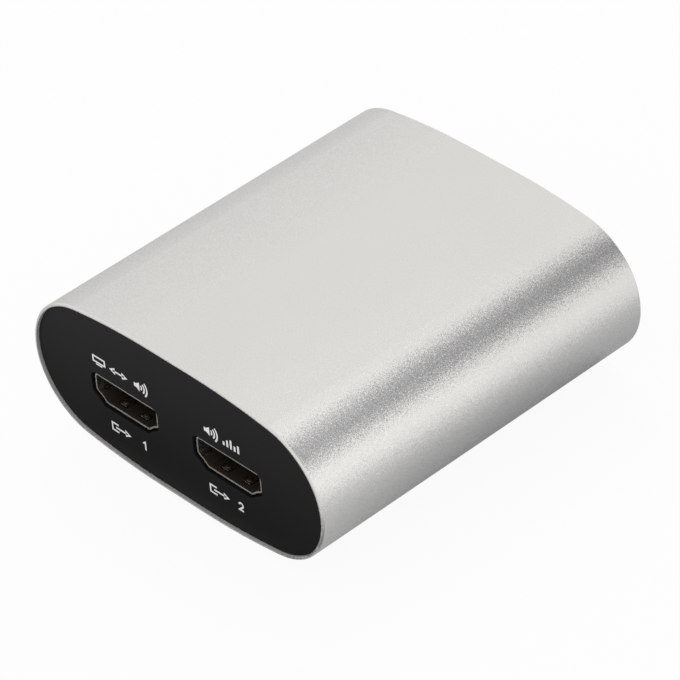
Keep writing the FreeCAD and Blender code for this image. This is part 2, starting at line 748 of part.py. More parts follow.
def make_rear_panel():
    """The rear panel: HDMI input, switch window, two light holes and the power socket's hole."""
    plate_openings, overlay_openings = [], []
    start = INSIDE_REAR - size.cutter_excess
    for label, gap, openings in (
        ("plate", size.window_gap, plate_openings), ("overlay", size.overlay_margin, overlay_openings),
    ):
        openings.append(
            socket_prism(
                f"in_{label}_window", size.shell_sheet + gap, size.input_place, REAR,
                CUTTER_LENGTH, FACING_REAR,
            )
        )
        half_width = size.switch_travel + size.lever_width / 2 + size.window_gap
        half_height = size.lever_height / 2 + size.window_gap
        level = BOARD_TOP + size.lever_rise
        openings.append(box(
            f"switch_{label}_window",
            (size.switch_place - half_width, start, level - half_height),
            (size.switch_place + half_width, REAR, level + half_height),
        ))
        openings.append(rod(
            f"jack_{label}_hole", size.jack_place, start, BOARD_TOP + size.jack_rise,
            size.jack_nose_radius + size.seat_gap, CUTTER_LENGTH, LYING_ALONG_Y,
        ))
        for index in range(2):
            openings.append(rod(
                f"light_{label}_hole_{index + 1}", size.light_place + index * size.light_pitch, start,
                BOARD_TOP + size.light_rise, size.light_radius + size.light_gap, CUTTER_LENGTH,
                LYING_ALONG_Y,
            ))
    make_panel("rear", plate_openings, overlay_openings)


def make_screws():
    """One countersunk screw, its head's face at the drawing's origin, copied to all eight ports."""
    screw = body("screw_design")
    profile = body_sketch(screw, "screw_profile", "YZ_Plane")
    draw_polygon(profile, [
        (0, 0), (0, size.screw_head_radius), (size.screw_head_height, size.screw_radius),
        (size.screw_length, size.screw_radius), (size.screw_length, 0),
    ])
    turned = screw.newObject("PartDesign::Revolution", "screw_turned")
    turned.Profile = profile
    turned.ReferenceAxis = (profile, ["H_Axis"])
    turned.Angle = 360
    doc.recompute()

    cross = body_sketch(screw, "screw_recess_outline", "XZ_Plane")
    arm, half = size.recess_length / 2, size.recess_width / 2
    draw_polygon(cross, [
        (-arm, -half), (-half, -half), (-half, -arm), (half, -arm), (half, -half), (arm, -half),
        (arm, half), (half, half), (half, arm), (-half, arm), (-half, half), (-arm, half),
    ])
    pocket(screw, "screw_recess", cross, size.recess_depth)

    for side, face, turn in (("front", PLATE_FRONT, UPRIGHT), ("rear", PLATE_REAR, FACING_REAR)):
        copies = [
            copy_of(f"{side}_screw_{index}", screw, x, face, MIDDLE + z, turn)
            for index, (x, z) in enumerate(SCREWS, start=1)
        ]
        node(f"{side}_plate_screws", group(f"{side}_screws", copies))


def make_feet():
    """Four rubber feet, each with its top cut to the belly's curve."""
    x = size.sleeve_width / 2 - size.foot_side_inset
    y = size.sleeve_depth / 2 - size.foot_end_inset
    blanks = [
        cone(
            f"foot_blank_{index}", x * along, y * across, 0, size.foot_radius - size.foot_taper,
            size.foot_radius, size.stand_off + size.sleeve_height / 4,
        )
        for index, (along, across) in enumerate(((-1, -1), (1, -1), (-1, 1), (1, 1)), start=1)
    ]
    belly = lens("belly_room", -size.foot_gap, FRONT, REAR)
    node("rubber_feet", cut("feet", group("foot_blanks", blanks), belly))


# Main board

def leg_slots():
    """The board's slots for the HDMI shells' legs, as centre x, centre y, width and depth."""
    width = size.shell_sheet + 2 * size.slot_slip
    depth = size.leg_width + 2 * size.slot_slip
    side = (size.port_width + size.shell_sheet) / 2
    behind = [size.leg_front + size.leg_width / 2 + size.leg_pitch * row for row in range(2)]
    slots = []
    for x, mouth, way in (
        (OUTPUTS["out1"], MOUTH_FRONT, 1), (OUTPUTS["out2"], MOUTH_FRONT, 1),
        (size.input_place, MOUTH_REAR, -1),
    ):
        for sign in (-1, 1):
            slots += [(x + sign * side, mouth + way * step, width, depth) for step in behind]
    return slots


def tail_slots():
    """The board's slots for the power socket's tails."""
    back = FACE_REAR - JACK_BODY_END
    width = size.terminal_width + 2 * size.slot_slip
    depth = size.terminal_sheet + 2 * size.slot_slip
    pin_tail = back - size.terminal_sheet / 2
    spring_tail = FACE_REAR - JACK_SPRING_ROOT - size.terminal_sheet / 2
    return [(size.jack_place, tail, width, depth) for tail in (pin_tail, spring_tail)]


def make_board():
    board = body("board", z=BOARD_UNDER)
    outline = body_sketch(board, "board_outline", "XY_Plane")
    front, rear = INSIDE_FRONT + size.board_end_gap, INSIDE_REAR - size.board_end_gap
    draw_rectangle(outline, -BOARD_HALF, front, BOARD_HALF, rear)
    pad(board, "board_blank", outline, size.board_thickness)
    slots = body_sketch(board, "board_slot_outline", "XY_Plane")
    for x, y, width, depth in leg_slots() + tail_slots():
        draw_rectangle(slots, x - width / 2, y - depth / 2, x + width / 2, y + depth / 2)
    pocket(board, "board_slots", slots, size.board_thickness, reverse=True)
    node("main_board", board)


# HDMI sockets, drawn once with the mouth at y = 0 and the depth along +Y, then copied

def draw_socket_outline():
    """The opening inside the shell: wide side up, shoulders with a slight bend below."""
    side, top, foot = size.port_width / 2, size.port_height / 2, -size.port_height / 2
    shoulder = top - size.port_side
    corner, kink = size.corner_radius, size.kink_radius
    right = [
        (side - size.shoulder_run, foot, corner),
        (side - size.kink_run, shoulder - size.kink_drop, kink),
        (side, shoulder, corner),
        (side, top, corner),
    ]
    left = [(-x, z, radius) for x, z, radius in reversed(right)]
    sketch = drawing("socket_outline", FRONT_PLANE)
    draw_rounded(sketch, right + left)
    return sketch


SOCKET_OUTLINE = draw_socket_outline()


def spring_finger(name, x, level, up):
    """A finger cut from a wall of the shell, with a dimple by its free end. up is 1 or -1."""
    sheet = -up * size.shell_sheet
    tip = size.finger_tip
    inner = [(tip + size.finger_length, level), (tip, level + up * size.finger_tip_lift)]
    outer = [(y, z + sheet) for y, z in reversed(inner)]
    sketch = drawing(name + "_outline", SIDE_PLANE)
    draw_polygon(sketch, inner + outer)
    leaf = prism(name + "_leaf", sketch, size.finger_width, ALONG_X, x=x - size.finger_width / 2)
    dimple = cone(
        name + "_dimple", x, tip + size.dimple_place, level, size.dimple_foot_radius,
        size.dimple_top_radius, size.dimple_lift, UPRIGHT if up > 0 else UPSIDE_DOWN,
    )
    return fused(name, leaf, dimple)


def make_shell():
    ring = doc.addObject("Part::Offset2D", "shell_section")
    ring.Source = SOCKET_OUTLINE
    ring.Join = "Arc"
    ring.Fill = True
    bind(ring, "Value", size.shell_sheet)
    tube = prism("shell_tube", ring, size.shell_depth)

    rooms, fingers = [], []
    half = size.finger_width / 2 + size.finger_slit
    start, end = size.finger_tip - size.finger_slit, size.finger_tip + size.finger_length
    sheet = size.shell_sheet
    for wall, level, up in (("top", size.port_height / 2, -1), ("foot", -size.port_height / 2, 1)):
        low = level if up < 0 else level - sheet
        for side, x in (("left", -size.finger_offset), ("right", size.finger_offset)):
            name = f"finger_{wall}_{side}"
            rooms.append(box(name + "_room", (x - half, start, low), (x + half, end, low + sheet)))
            fingers.append(spring_finger(name, x, level, up))
    opened = cut("shell_opened", tube, fused("finger_rooms", *rooms))

    legs = []
    side, foot = size.port_width / 2, PORT_FOOT - size.board_thickness - size.leg_tail
    for row in range(2):
        front = size.leg_front + size.leg_pitch * row
        for label, low in (("left", -side - sheet), ("right", side)):
            legs.append(box(
                f"leg_{label}_{row + 1}", (low, front, foot),
                (low + sheet, front + size.leg_width, size.port_height / 2 - size.port_side / 2),
            ))
    return fused("shell_design", opened, *fingers, *legs)


def make_contacts():
    """The strips on the tongue and those under it, each with its foot on the board."""
    thin = size.contact_sheet
    start = size.tongue_front + size.contact_setback
    tongue_top = size.tongue_rise + size.tongue_height / 2
    strips = []
    for row, top, count in (
        ("upper", tongue_top, size.contact_count),
        ("lower", tongue_top - size.tongue_height + thin, size.contact_count - 1),
    ):
        sketch = drawing(f"{row}_contact_outline", SIDE_PLANE)
        draw_polygon(sketch, [
            (start, top - thin), (SOCKET_DEPTH, top - thin), (SOCKET_DEPTH, PORT_FOOT),
            (SOCKET_DEPTH + size.contact_foot, PORT_FOOT),
            (SOCKET_DEPTH + size.contact_foot, PORT_FOOT + thin),
            (SOCKET_DEPTH + thin, PORT_FOOT + thin), (SOCKET_DEPTH + thin, top), (start, top),
        ])
        for index in range(count.value):
            x = (index - (count - 1) / 2) * size.contact_pitch - size.contact_width / 2
            name = f"{row}_contact_{index + 1}"
            strips.append(prism(name, sketch, size.contact_width, ALONG_X, x=x))
    return group("contacts_design", strips)


def make_insulator(contacts):
    inner = doc.addObject("Part::Offset2D", "insulator_outline")
    inner.Source = SOCKET_OUTLINE
    inner.Join = "Arc"
    bind(inner, "Value", -size.block_gap)
    plug = prism("insulator_block", inner, size.shell_depth - size.block_front, y=size.block_front)
    heel = box(
        "insulator_heel", (-size.heel_width / 2, size.shell_depth, PORT_FOOT),
        (size.heel_width / 2, SOCKET_DEPTH, size.port_height / 2),
    )
    half = size.tongue_width / 2
    under = size.tongue_rise - size.tongue_height / 2
    tongue = box(
        "insulator_tongue", (-half, size.tongue_front, under),
        (half, size.shell_depth, under + size.tongue_height),
    )
    return cut("insulator_design", fused("insulator_blank", plug, heel, tongue), contacts)


def make_sockets():
    shell = make_shell()
    contacts = make_contacts()
    insulator = make_insulator(contacts)
    places = [(name, x, MOUTH_FRONT, UPRIGHT) for name, x in OUTPUTS.items()]
    places.append(("in", size.input_place, MOUTH_REAR, FACING_REAR))
    for name, x, mouth, turn in places:
        for piece, design in (("shell", shell), ("insulator", insulator), ("contacts", contacts)):
            label = f"hdmi_{name}_{piece}"
            node(label, copy_of(f"{name}_{piece}", design, x, mouth, PORT_LEVEL, turn))


# Power socket, drawn with the mouth at y = 0 and the depth along +Y, then turned to face the rear

def make_jack():
    level = BOARD_TOP + size.jack_rise
    where = dict(x=size.jack_place, y=FACE_REAR, z=level, turn=FACING_REAR)
    half = size.jack_width / 2
    sheet = size.terminal_sheet

    jack = body("jack_design")
    nose = body_sketch(jack, "jack_nose_outline", "XZ_Plane")
    draw_circle(nose, 0, 0, size.jack_nose_radius)
    pad(jack, "jack_nose", nose, JACK_NOSE + size.switch_gap, reverse=True)
    case = body_sketch(jack, "jack_case_outline", "XZ_Plane", -JACK_NOSE)
    draw_rectangle(case, -half, -size.jack_rise, half, size.jack_top)
    pad(jack, "jack_case", case, size.jack_depth, reverse=True)
    bore = body_sketch(jack, "jack_bore_outline", "XZ_Plane")
    draw_circle(bore, 0, 0, size.jack_bore_radius)
    pocket(jack, "jack_bore", bore, size.jack_bore_depth)
    hole = body_sketch(jack, "jack_pin_hole_outline", "XZ_Plane")
    draw_circle(hole, 0, 0, size.jack_pin_radius)
    pocket(jack, "jack_pin_hole", hole, JACK_BODY_END)
    slot = body_sketch(jack, "jack_spring_slot_outline", "YZ_Plane", -size.terminal_width / 2 - sheet / 2)
    draw_rectangle(
        slot, JACK_BODY_END - size.jack_spring_reach - sheet * 2, -size.jack_rise,
        JACK_SPRING_ROOT + sheet, -size.jack_bore_radius + size.jack_spring_lift,
    )
    pocket(jack, "jack_spring_slot", slot, size.terminal_width + sheet, reverse=True)
    node("power_socket_body", copy_of("jack_body", jack, **where))

    tip = size.jack_pin_setback
    dome = ball("pin_tip", 0, tip + size.jack_pin_radius, 0, size.jack_pin_radius)
    length = JACK_BODY_END + sheet - tip - size.jack_pin_radius
    shaft = rod(
        "pin_shaft", 0, tip + size.jack_pin_radius, 0, size.jack_pin_radius, length, LYING_ALONG_Y,
    )
    rivet = rod("pin_rivet", 0, JACK_BODY_END, 0, size.jack_pin_flange, sheet, LYING_ALONG_Y)
    tail_half = size.terminal_width / 2
    tail = box(
        "pin_tail", (-tail_half, JACK_BODY_END, -size.jack_rise - size.terminal_tail),
        (tail_half, JACK_BODY_END + sheet, 0),
    )
    node("power_socket_pin", copy_of("jack_pin", fused("pin_design", dome, shaft, rivet, tail), **where))

    floor = -size.jack_bore_radius - sheet
    crest = -size.jack_bore_radius + size.jack_spring_lift / 2
    root_end = JACK_SPRING_ROOT
    free = JACK_BODY_END - size.jack_spring_reach
    arm = drawing("jack_spring_outline", SIDE_PLANE)
    draw_polygon(arm, [
        (root_end, -size.jack_rise - size.terminal_tail),
        (root_end + sheet, -size.jack_rise - size.terminal_tail), (root_end + sheet, floor + sheet),
        (root_end - sheet, floor + sheet), (free + sheet * 2, crest), (free, crest - sheet / 2),
        (free, crest - sheet * 3 / 2), (free + sheet * 2, crest - sheet), (root_end - sheet, floor),
        (root_end, floor),
    ])
    spring = prism("jack_spring", arm, size.terminal_width, ALONG_X, x=-size.terminal_width / 2)
    node("power_socket_spring", copy_of("jack_spring_copy", spring, **where))


# Mode switch, drawn with its frame's front at y = 0 and the board at z = 0, then turned to the rear

def make_switch():
    half, depth, height = size.switch_width / 2, size.switch_depth, size.switch_height
    sheet, gap = size.switch_sheet, size.switch_gap
    where = dict(
        x=size.switch_place, y=INSIDE_REAR - gap, z=BOARD_TOP, turn=FACING_REAR,
    )
    outer = box("frame_blank", (-half, 0, 0), (half, depth, height))
    inner = box("frame_room", (-half + sheet, sheet, 0), (half - sheet, depth - sheet, height - sheet))
    reach = size.switch_travel + size.lever_width / 2 + gap
    rise = size.lever_height / 2 + gap
    window = box(
        "frame_window", (-reach, 0, size.lever_rise - rise), (reach, sheet, size.lever_rise + rise),
    )
    frame = cut("frame_design", outer, fused("frame_rooms", inner, window))
    node("mode_switch_frame", copy_of("switch_frame", frame, **where))

    base = box(
        "base_blank", (-half + sheet + gap / 2, sheet + gap / 2, 0),
        (half - sheet - gap / 2, depth - sheet - gap / 2, size.switch_base_height),
    )
    pins = []
    thin = size.wiper_sheet
    for index in range(size.switch_pin_count.value):
        x = (index - (size.switch_pin_count - 1) / 2) * size.switch_pin_pitch
        left, right = x - size.switch_pin_width / 2, x + size.switch_pin_width / 2
        top = size.switch_base_height
        pad_part = box(f"pin_{index + 1}_pad", (left, depth / 4, top - thin), (right, depth * 3 / 4, top))
        stem = box(f"pin_{index + 1}_stem", (left, depth / 2, 0), (right, depth / 2 + thin, top))
        pins.append(fused(f"pin_{index + 1}", pad_part, stem))
    terminals = group("terminals_design", pins)
    node("mode_switch_base", copy_of("switch_base", cut("base_design", base, terminals), **where))
    node("mode_switch_terminals", copy_of("switch_terminals", terminals, **where))

    slider = body("slider_design")
    low = size.lever_rise - size.carrier_height / 2
    carrier = body_sketch(slider, "carrier_outline", "XZ_Plane", -(sheet + gap))
    draw_rectangle(
        carrier, -size.carrier_width / 2, low, size.carrier_width / 2, low + size.carrier_height,
    )
    pad(slider, "carrier", carrier, depth - 2 * (sheet + gap), reverse=True)
    lever = body_sketch(slider, "lever_outline", "XZ_Plane", size.lever_reach)
    draw_rectangle(
        lever, -size.lever_width / 2, size.lever_rise - size.lever_height / 2,
        size.lever_width / 2, size.lever_rise + size.lever_height / 2,
    )
    pad(slider, "lever", lever, size.lever_reach + sheet + 2 * gap, reverse=True)
    node("mode_switch_slider", copy_of("switch_slider", slider, **where))

    foot = size.switch_base_height + size.wiper_gap
    middle = depth / 2
    plate = box(
        "wiper_plate", (-size.wiper_width / 2, middle - size.wiper_depth / 2, low - thin),
        (size.wiper_width / 2, middle + size.wiper_depth / 2, low),
    )
    ends = [
        box(
            f"wiper_foot_{label}", (start, middle - size.wiper_depth / 4, foot),
            (start + size.switch_pin_width, middle + size.wiper_depth / 4, low),
        )
        for label, start in (
            ("left", -size.wiper_width / 2), ("right", size.wiper_width / 2 - size.switch_pin_width),
        )
    ]
    node("mode_switch_wiper", copy_of("switch_wiper", fused("wiper_design", plate, *ends), **where))


# Lights

def make_lights():
    """Two bent light pipes from the rear panel down to the LEDs under their ends."""
    pipes, lamps = [], []
    level = BOARD_TOP + size.light_rise
    bend = FACE_REAR - size.light_run
    foot = BOARD_TOP + size.led_height + size.led_gap
    for index in range(2):
        x = size.light_place + index * size.light_pitch
        name = f"light_{index + 1}"
        run = rod(name + "_run", x, bend, level, size.light_radius, size.light_run, LYING_ALONG_Y)
        drop = rod(name + "_drop", x, bend, foot, size.light_radius, level - foot)
        elbow = ball(name + "_elbow", x, bend, level, size.light_radius)
        pipes.append(fused(name, run, elbow, drop))
        lamps.append(block(
            f"led_{index + 1}", x, bend, BOARD_TOP, size.led_width, size.led_depth, size.led_height,
        ))
    node("light_pipes", group("pipes", pipes))
    node("status_leds", group("leds", lamps))


# Parts on the board

def make_processor():
    y = size.processor_shift
    width = size.processor_width
    node("main_processor", block("processor", 0, y, BOARD_TOP, width, width, size.processor_height))
    top = BOARD_TOP + size.processor_height
    pad_width = size.thermal_pad_width
    node("thermal_pad", block("pad_sheet", 0, y, top, pad_width, pad_width, size.thermal_pad_height))

    sink = body("sink", y=y, z=top + size.thermal_pad_height)
    half = size.sink_width / 2
    base = body_sketch(sink, "sink_base_outline", "XY_Plane")
    draw_rectangle(base, -half, -half, half, half)
    pad(sink, "sink_base_plate", base, size.sink_base)
    fin = body_sketch(sink, "fin_outline", "XY_Plane", size.sink_base)
    draw_rectangle(fin, -half, -half, -half + size.fin_thickness, half)
    first = pad(sink, "fin", fin, size.fin_height)
    doc.recompute()
    fins = sink.newObject("PartDesign::LinearPattern", "fins")
    fins.Originals = [first]
    fins.Direction = (base, ["H_Axis"])
    bind(fins, "Length", size.sink_width - size.fin_thickness)
    bind(fins, "Occurrences", size.fin_count)
    sink.Tip = fins
    node("heat_sink", sink)


def make_chips():
    """The smaller packages: controller, audio chip, flash memory with leads, and two crystals."""
    x, width = CONTROLLER_PLACE, size.controller_width
    y = size.processor_shift
    node("microcontroller", block("controller", x, y, BOARD_TOP, width, width, size.controller_height))
    audio_x, audio_y = AUDIO_CHIP_PLACE, size.audio_chip_shift
    audio = size.audio_chip_width
    node("audio_processor", block(
        "audio_chip", audio_x, audio_y, BOARD_TOP, audio, audio, size.controller_height,
    ))

    flash_y = size.flash_shift
    case = block(
        "flash_case", x, flash_y, BOARD_TOP + size.lead_sheet, size.flash_width, size.flash_length,
        size.flash_height - size.lead_sheet,
    )
    leads = []
    for index in range(size.flash_leads.value):
        y = flash_y + (index - (size.flash_leads - 1) / 2) * size.lead_pitch
        for label, sign in (("left", -1), ("right", 1)):
            middle = x + sign * (size.flash_width + size.lead_reach - size.lead_width) / 2
            leads.append(block(
                f"lead_{label}_{index + 1}", middle, y, BOARD_TOP,
                size.lead_reach + size.lead_width, size.lead_width, size.lead_sheet,
            ))
    node("flash_memory", group("flash", [case, *leads]))

    rise = size.crystal_height
    beside_controller = size.processor_shift - width / 2 - size.crystal_gap - size.crystal_width / 2
    beside_audio = audio_y + audio / 2 + size.crystal_gap + size.crystal_width / 2
    crystals = [
        block("crystal_1", x, beside_controller, BOARD_TOP, size.crystal_length, size.crystal_width, rise),
        block("crystal_2", audio_x, beside_audio, BOARD_TOP, size.crystal_length, size.crystal_width, rise),
    ]
    node("crystals", group("crystal_pair", crystals))


def make_power_parts():
    """Inductor, two electrolytic capacitors and two regulators."""
    width, thin = size.inductor_width, size.inductor_cap_height
    x, y = AUDIO_CHIP_PLACE, size.inductor_shift + size.inductor_width / 2
    core = block("core", x, y, BOARD_TOP, width - 2 * thin, width, size.inductor_height)
    caps = [
        block(f"core_end_{index}", x + sign * (width - thin) / 2, y, BOARD_TOP, thin, width / 2, width / 4)
        for index, sign in enumerate((-1, 1), start=1)
    ]
    node("power_inductor", group("inductor", [core, *caps]))

    bases, cans = [], []
    for index in range(2):
        spot = size.can_shift + index * size.can_pitch
        base = block(
            f"can_base_{index + 1}", CAN_PLACE, spot, BOARD_TOP, size.can_base_width,
            size.can_base_width, size.can_base_height,
        )
        bases.append(base)
        top = BOARD_TOP + size.can_base_height
        cans.append(rod(f"can_{index + 1}", CAN_PLACE, spot, top, size.can_radius, size.can_height))
    node("capacitor_bases", group("can_bases", bases))
    node("capacitor_cans", group("cans", cans))

    regulators = [
        block(
            f"regulator_{index + 1}", size.regulator_place - index * size.regulator_pitch,
            size.regulator_shift, BOARD_TOP, size.regulator_length, size.regulator_width,
            size.regulator_height,
        )
        for index in range(2)
    ]
    node("voltage_regulators", group("regulator_pair", regulators))


def make_small_parts():
    """Capacitors round the processor, ESD arrays behind each socket and a row of resistors by them."""
    capacitors = []
    edge = size.processor_width / 2 + size.chip_part_gap + size.chip_part_width / 2
    for index in range(size.chip_part_count.value):
        along = (index - (size.chip_part_count - 1) / 2) * size.chip_part_pitch
        for sign in (-1, 1):
            name = f"{index + 1}_{'low' if sign < 0 else 'high'}"
            beside = block(
                "capacitor_x_" + name, sign * edge, size.processor_shift + along, BOARD_TOP,
                size.chip_part_width, size.chip_part_length, size.chip_part_height,
            )
            before = block(
                "capacitor_y_" + name, along, size.processor_shift + sign * edge, BOARD_TOP,
                size.chip_part_length, size.chip_part_width, size.chip_part_height,
            )
            capacitors += [beside, before]
    node("ceramic_capacitors", group("capacitors", capacitors))

    guards, resistors = [], []
    behind = SOCKET_DEPTH + size.contact_foot + size.guard_gap + size.guard_width / 2
    row = behind + size.resistor_gap
    sockets = [(name, x, MOUTH_FRONT + behind, MOUTH_FRONT + row) for name, x in OUTPUTS.items()]
    sockets.append(("in", size.input_place, MOUTH_REAR - behind, MOUTH_REAR - row))
    for name, x, guard_y, row_y in sockets:
        for index in range(2):
            guards.append(block(
                f"guard_{name}_{index + 1}", x + (index - 0.5) * size.guard_pitch, guard_y, BOARD_TOP,
                size.guard_length, size.guard_width, size.guard_height,
            ))
        for index in range(size.resistor_count.value):
            along = (index - (size.resistor_count - 1) / 2) * size.resistor_pitch
            resistors.append(block(
                f"resistor_{name}_{index + 1}", x + along, row_y, BOARD_TOP,
                size.resistor_width, size.resistor_length, size.resistor_height,
            ))
    node("esd_arrays", group("guards", guards))
    node("resistors", group("resistor_rows", resistors))


# Building, checking and writing

def check():
    """Stops the build if an object has failed or a sub-part has no valid solid."""
    doc.recompute()
    for thing in doc.Objects:
        if "Invalid" in thing.State or "Error" in thing.State:
            raise RuntimeError(f"{thing.Name} has failed: {thing.State}")
    for label, thing in nodes.items():
        shape = thing.Shape
        if shape.isNull() or not shape.isValid() or not shape.Solids:
            raise RuntimeError(f"{label} has no valid solid")


def write():
    for label, thing in nodes.items():
        shape = thing.Shape
        shape.exportStep(f"parts/{label}.step")
        corner = shape.BoundBox
        print(f"{label}: {len(shape.Solids)} solids, {shape.Volume:.1f} mm3,"
              f" {corner.XLength:.2f} x {corner.YLength:.2f} x {corner.ZLength:.2f}")


os.makedirs("parts", exist_ok=True)
make_sleeve()
make_front_panel()
make_rear_panel()
make_screws()
make_feet()
make_board()
make_sockets()
make_jack()
make_switch()
make_lights()
make_processor()
make_chips()
make_power_parts()
make_small_parts()
check()
write()
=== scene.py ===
"""The looks of a pocket-size HDMI audio extractor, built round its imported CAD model.

Lengths are metres in the row frame: X is the width, +Y runs to the rear panel, +Z is up. The printed
marks are drawn in millimetres.
"""

import json
import math

import bmesh
import bpy
from mathutils import Matrix, Vector


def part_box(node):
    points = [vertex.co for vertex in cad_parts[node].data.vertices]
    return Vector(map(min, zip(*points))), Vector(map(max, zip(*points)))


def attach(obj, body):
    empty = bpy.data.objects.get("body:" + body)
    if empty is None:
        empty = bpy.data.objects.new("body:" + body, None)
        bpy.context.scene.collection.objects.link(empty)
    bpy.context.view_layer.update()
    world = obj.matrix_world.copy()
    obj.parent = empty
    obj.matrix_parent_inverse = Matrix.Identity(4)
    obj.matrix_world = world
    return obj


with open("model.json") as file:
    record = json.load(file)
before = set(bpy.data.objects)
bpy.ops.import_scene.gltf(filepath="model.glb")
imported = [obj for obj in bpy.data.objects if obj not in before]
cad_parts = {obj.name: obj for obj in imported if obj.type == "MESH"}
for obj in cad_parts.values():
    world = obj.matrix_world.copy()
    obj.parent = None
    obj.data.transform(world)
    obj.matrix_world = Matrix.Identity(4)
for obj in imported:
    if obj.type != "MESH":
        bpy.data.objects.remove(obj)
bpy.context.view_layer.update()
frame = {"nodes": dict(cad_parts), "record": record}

MM = 0.001
BODY = "extractor"

# Places taken from the frame

SLEEVE_LOW, SLEEVE_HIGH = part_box("housing_sleeve")
MIDDLE = (SLEEVE_LOW.z + SLEEVE_HIGH.z) / 2
FRONT_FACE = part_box("front_overlay")[0].y
REAR_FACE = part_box("rear_overlay")[1].y
SOCKET_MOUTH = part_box("hdmi_in_shell")[1].y


def centre(node):
    low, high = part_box(node)
    return (low + high) / 2


def linked(name, data):
    """A new object with that data, linked to the scene."""
    made = bpy.data.objects.new(name, data)
    bpy.context.scene.collection.objects.link(made)
    return made


# Camera, where the photograph was taken from

CAMERA_PLACE = Vector((424.62, -374.12, 455.51)) * MM
CAMERA_AZIMUTH = math.radians(48.600)
CAMERA_ELEVATION = math.radians(38.094)
CAMERA_ROLL = math.radians(-4.358)
SENSOR = 36.0
LENS = 239.99
CLIP_NEAR, CLIP_FAR = 0.01, 100


def make_camera():
    data = bpy.data.cameras.new("camera")
    data.sensor_width = SENSOR
    data.lens = LENS
    data.clip_start = CLIP_NEAR
    data.clip_end = CLIP_FAR
    camera = linked("camera", data)
    flat = math.cos(CAMERA_ELEVATION)
    back = Vector((
        math.sin(CAMERA_AZIMUTH) * flat, -math.cos(CAMERA_AZIMUTH) * flat, math.sin(CAMERA_ELEVATION),
    ))
    level = back.cross(Vector((0, 0, -1))).normalized()
    upright = back.cross(level)
    turn, lean = math.cos(CAMERA_ROLL), math.sin(CAMERA_ROLL)
    right = level * turn + upright * lean
    up = upright * turn - level * lean
    camera.matrix_world = Matrix((
        (right.x, up.x, back.x, CAMERA_PLACE.x),
        (right.y, up.y, back.y, CAMERA_PLACE.y),
        (right.z, up.z, back.z, CAMERA_PLACE.z),
        (0, 0, 0, 1),
    ))
    bpy.context.scene.camera = camera


# Node helpers

NOISE_LOW, NOISE_HIGH = 0.3, 0.7
EDGE_SAMPLES = 6
WHITE = (1, 1, 1, 1)


class Nodes:
    """Adds and links shader nodes in one tree."""

    def __init__(self, tree):
        self.tree = tree
        tree.nodes.clear()

    def add(self, kind, settings=None, **inputs):
        made = self.tree.nodes.new(kind)
        for name, value in (settings or {}).items():
            setattr(made, name, value)
        for name, value in inputs.items():
            socket = self.socket(made, name)
            if isinstance(value, bpy.types.NodeSocket):
                self.tree.links.new(value, socket)
            else:
                socket.default_value = value
        return made

    @staticmethod
    def socket(made, name):
        """An input by its position, as i0, or by its name with _ for each space."""
        if name[0] == "i" and name[1:].isdigit():
            return made.inputs[int(name[1:])]
        return made.inputs[name.replace("_", " ")]


def new_material(name):
    """An empty material and the nodes that fill it."""
    made = bpy.data.materials.new(name)
    made.use_nodes = True
    return made, Nodes(made.node_tree)


def shown_by(nodes, shader):
    nodes.add("ShaderNodeOutputMaterial", Surface=shader.outputs[0])


def own_place(nodes):
    """Where a shaded point lies in its object, in metres."""
    return nodes.add("ShaderNodeTexCoord").outputs["Object"]


def plain_normal(nodes):
    return nodes.add("ShaderNodeNewGeometry").outputs["Normal"]


def along_axis(nodes, vector, axis):
    """The X, Y or Z part of a vector."""
    return nodes.add("ShaderNodeSeparateXYZ", i0=vector).outputs[axis]


def maths(nodes, operation, *values):
    inputs = {f"i{index}": value for index, value in enumerate(values)}
    return nodes.add("ShaderNodeMath", {"operation": operation}, **inputs).outputs[0]


def ramp(nodes, value, reach, ends=(0.0, 1.0), shape="LINEAR"):
    """A number that runs between the two ends while value runs over its reach."""
    made = nodes.add(
        "ShaderNodeMapRange", {"interpolation_type": shape},
        i0=value, i1=reach[0], i2=reach[1], i3=ends[0], i4=ends[1],
    )
    return made.outputs["Result"]


def noise(nodes, place, size, detail=2.0):
    """Noise between 0 and 1 with features of about size, in metres."""
    made = nodes.add("ShaderNodeTexNoise", Vector=place, Scale=1 / size, Detail=detail, Roughness=0.5)
    return made.outputs["Fac"]


def spread(nodes, value, low, high):
    """Noise, whose values gather round a half, spread from low to high."""
    return ramp(nodes, value, (NOISE_LOW, NOISE_HIGH), (low, high))


def mixed(nodes, amount, first, second):
    """A colour between two colours, each a link or three numbers."""
    made = nodes.add("ShaderNodeMix", {"data_type": "RGBA"}, i0=amount)
    for index, colour in ((6, first), (7, second)):
        if isinstance(colour, bpy.types.NodeSocket):
            nodes.tree.links.new(colour, made.inputs[index])
        else:
            made.inputs[index].default_value = (*colour, 1)
    return made.outputs[2]


def blended(nodes, amount, first, second):
    """A number between two numbers."""
    return nodes.add("ShaderNodeMix", {"data_type": "FLOAT"}, i0=amount, i2=first, i3=second).outputs[0]


def bumped(nodes, height, depth, under):
    """The normal under it, bent by a height between 0 and 1 that stands for depth, in metres."""
    made = nodes.add("ShaderNodeBump", Height=height, Distance=depth, Strength=1.0, Normal=under)
    return made.outputs["Normal"]


def rounded(nodes, radius):
    """The normal with a narrow rounding on sharp edges, which catches the light as real edges do."""
    return nodes.add("ShaderNodeBevel", {"samples": EDGE_SAMPLES}, Radius=radius).outputs["Normal"]


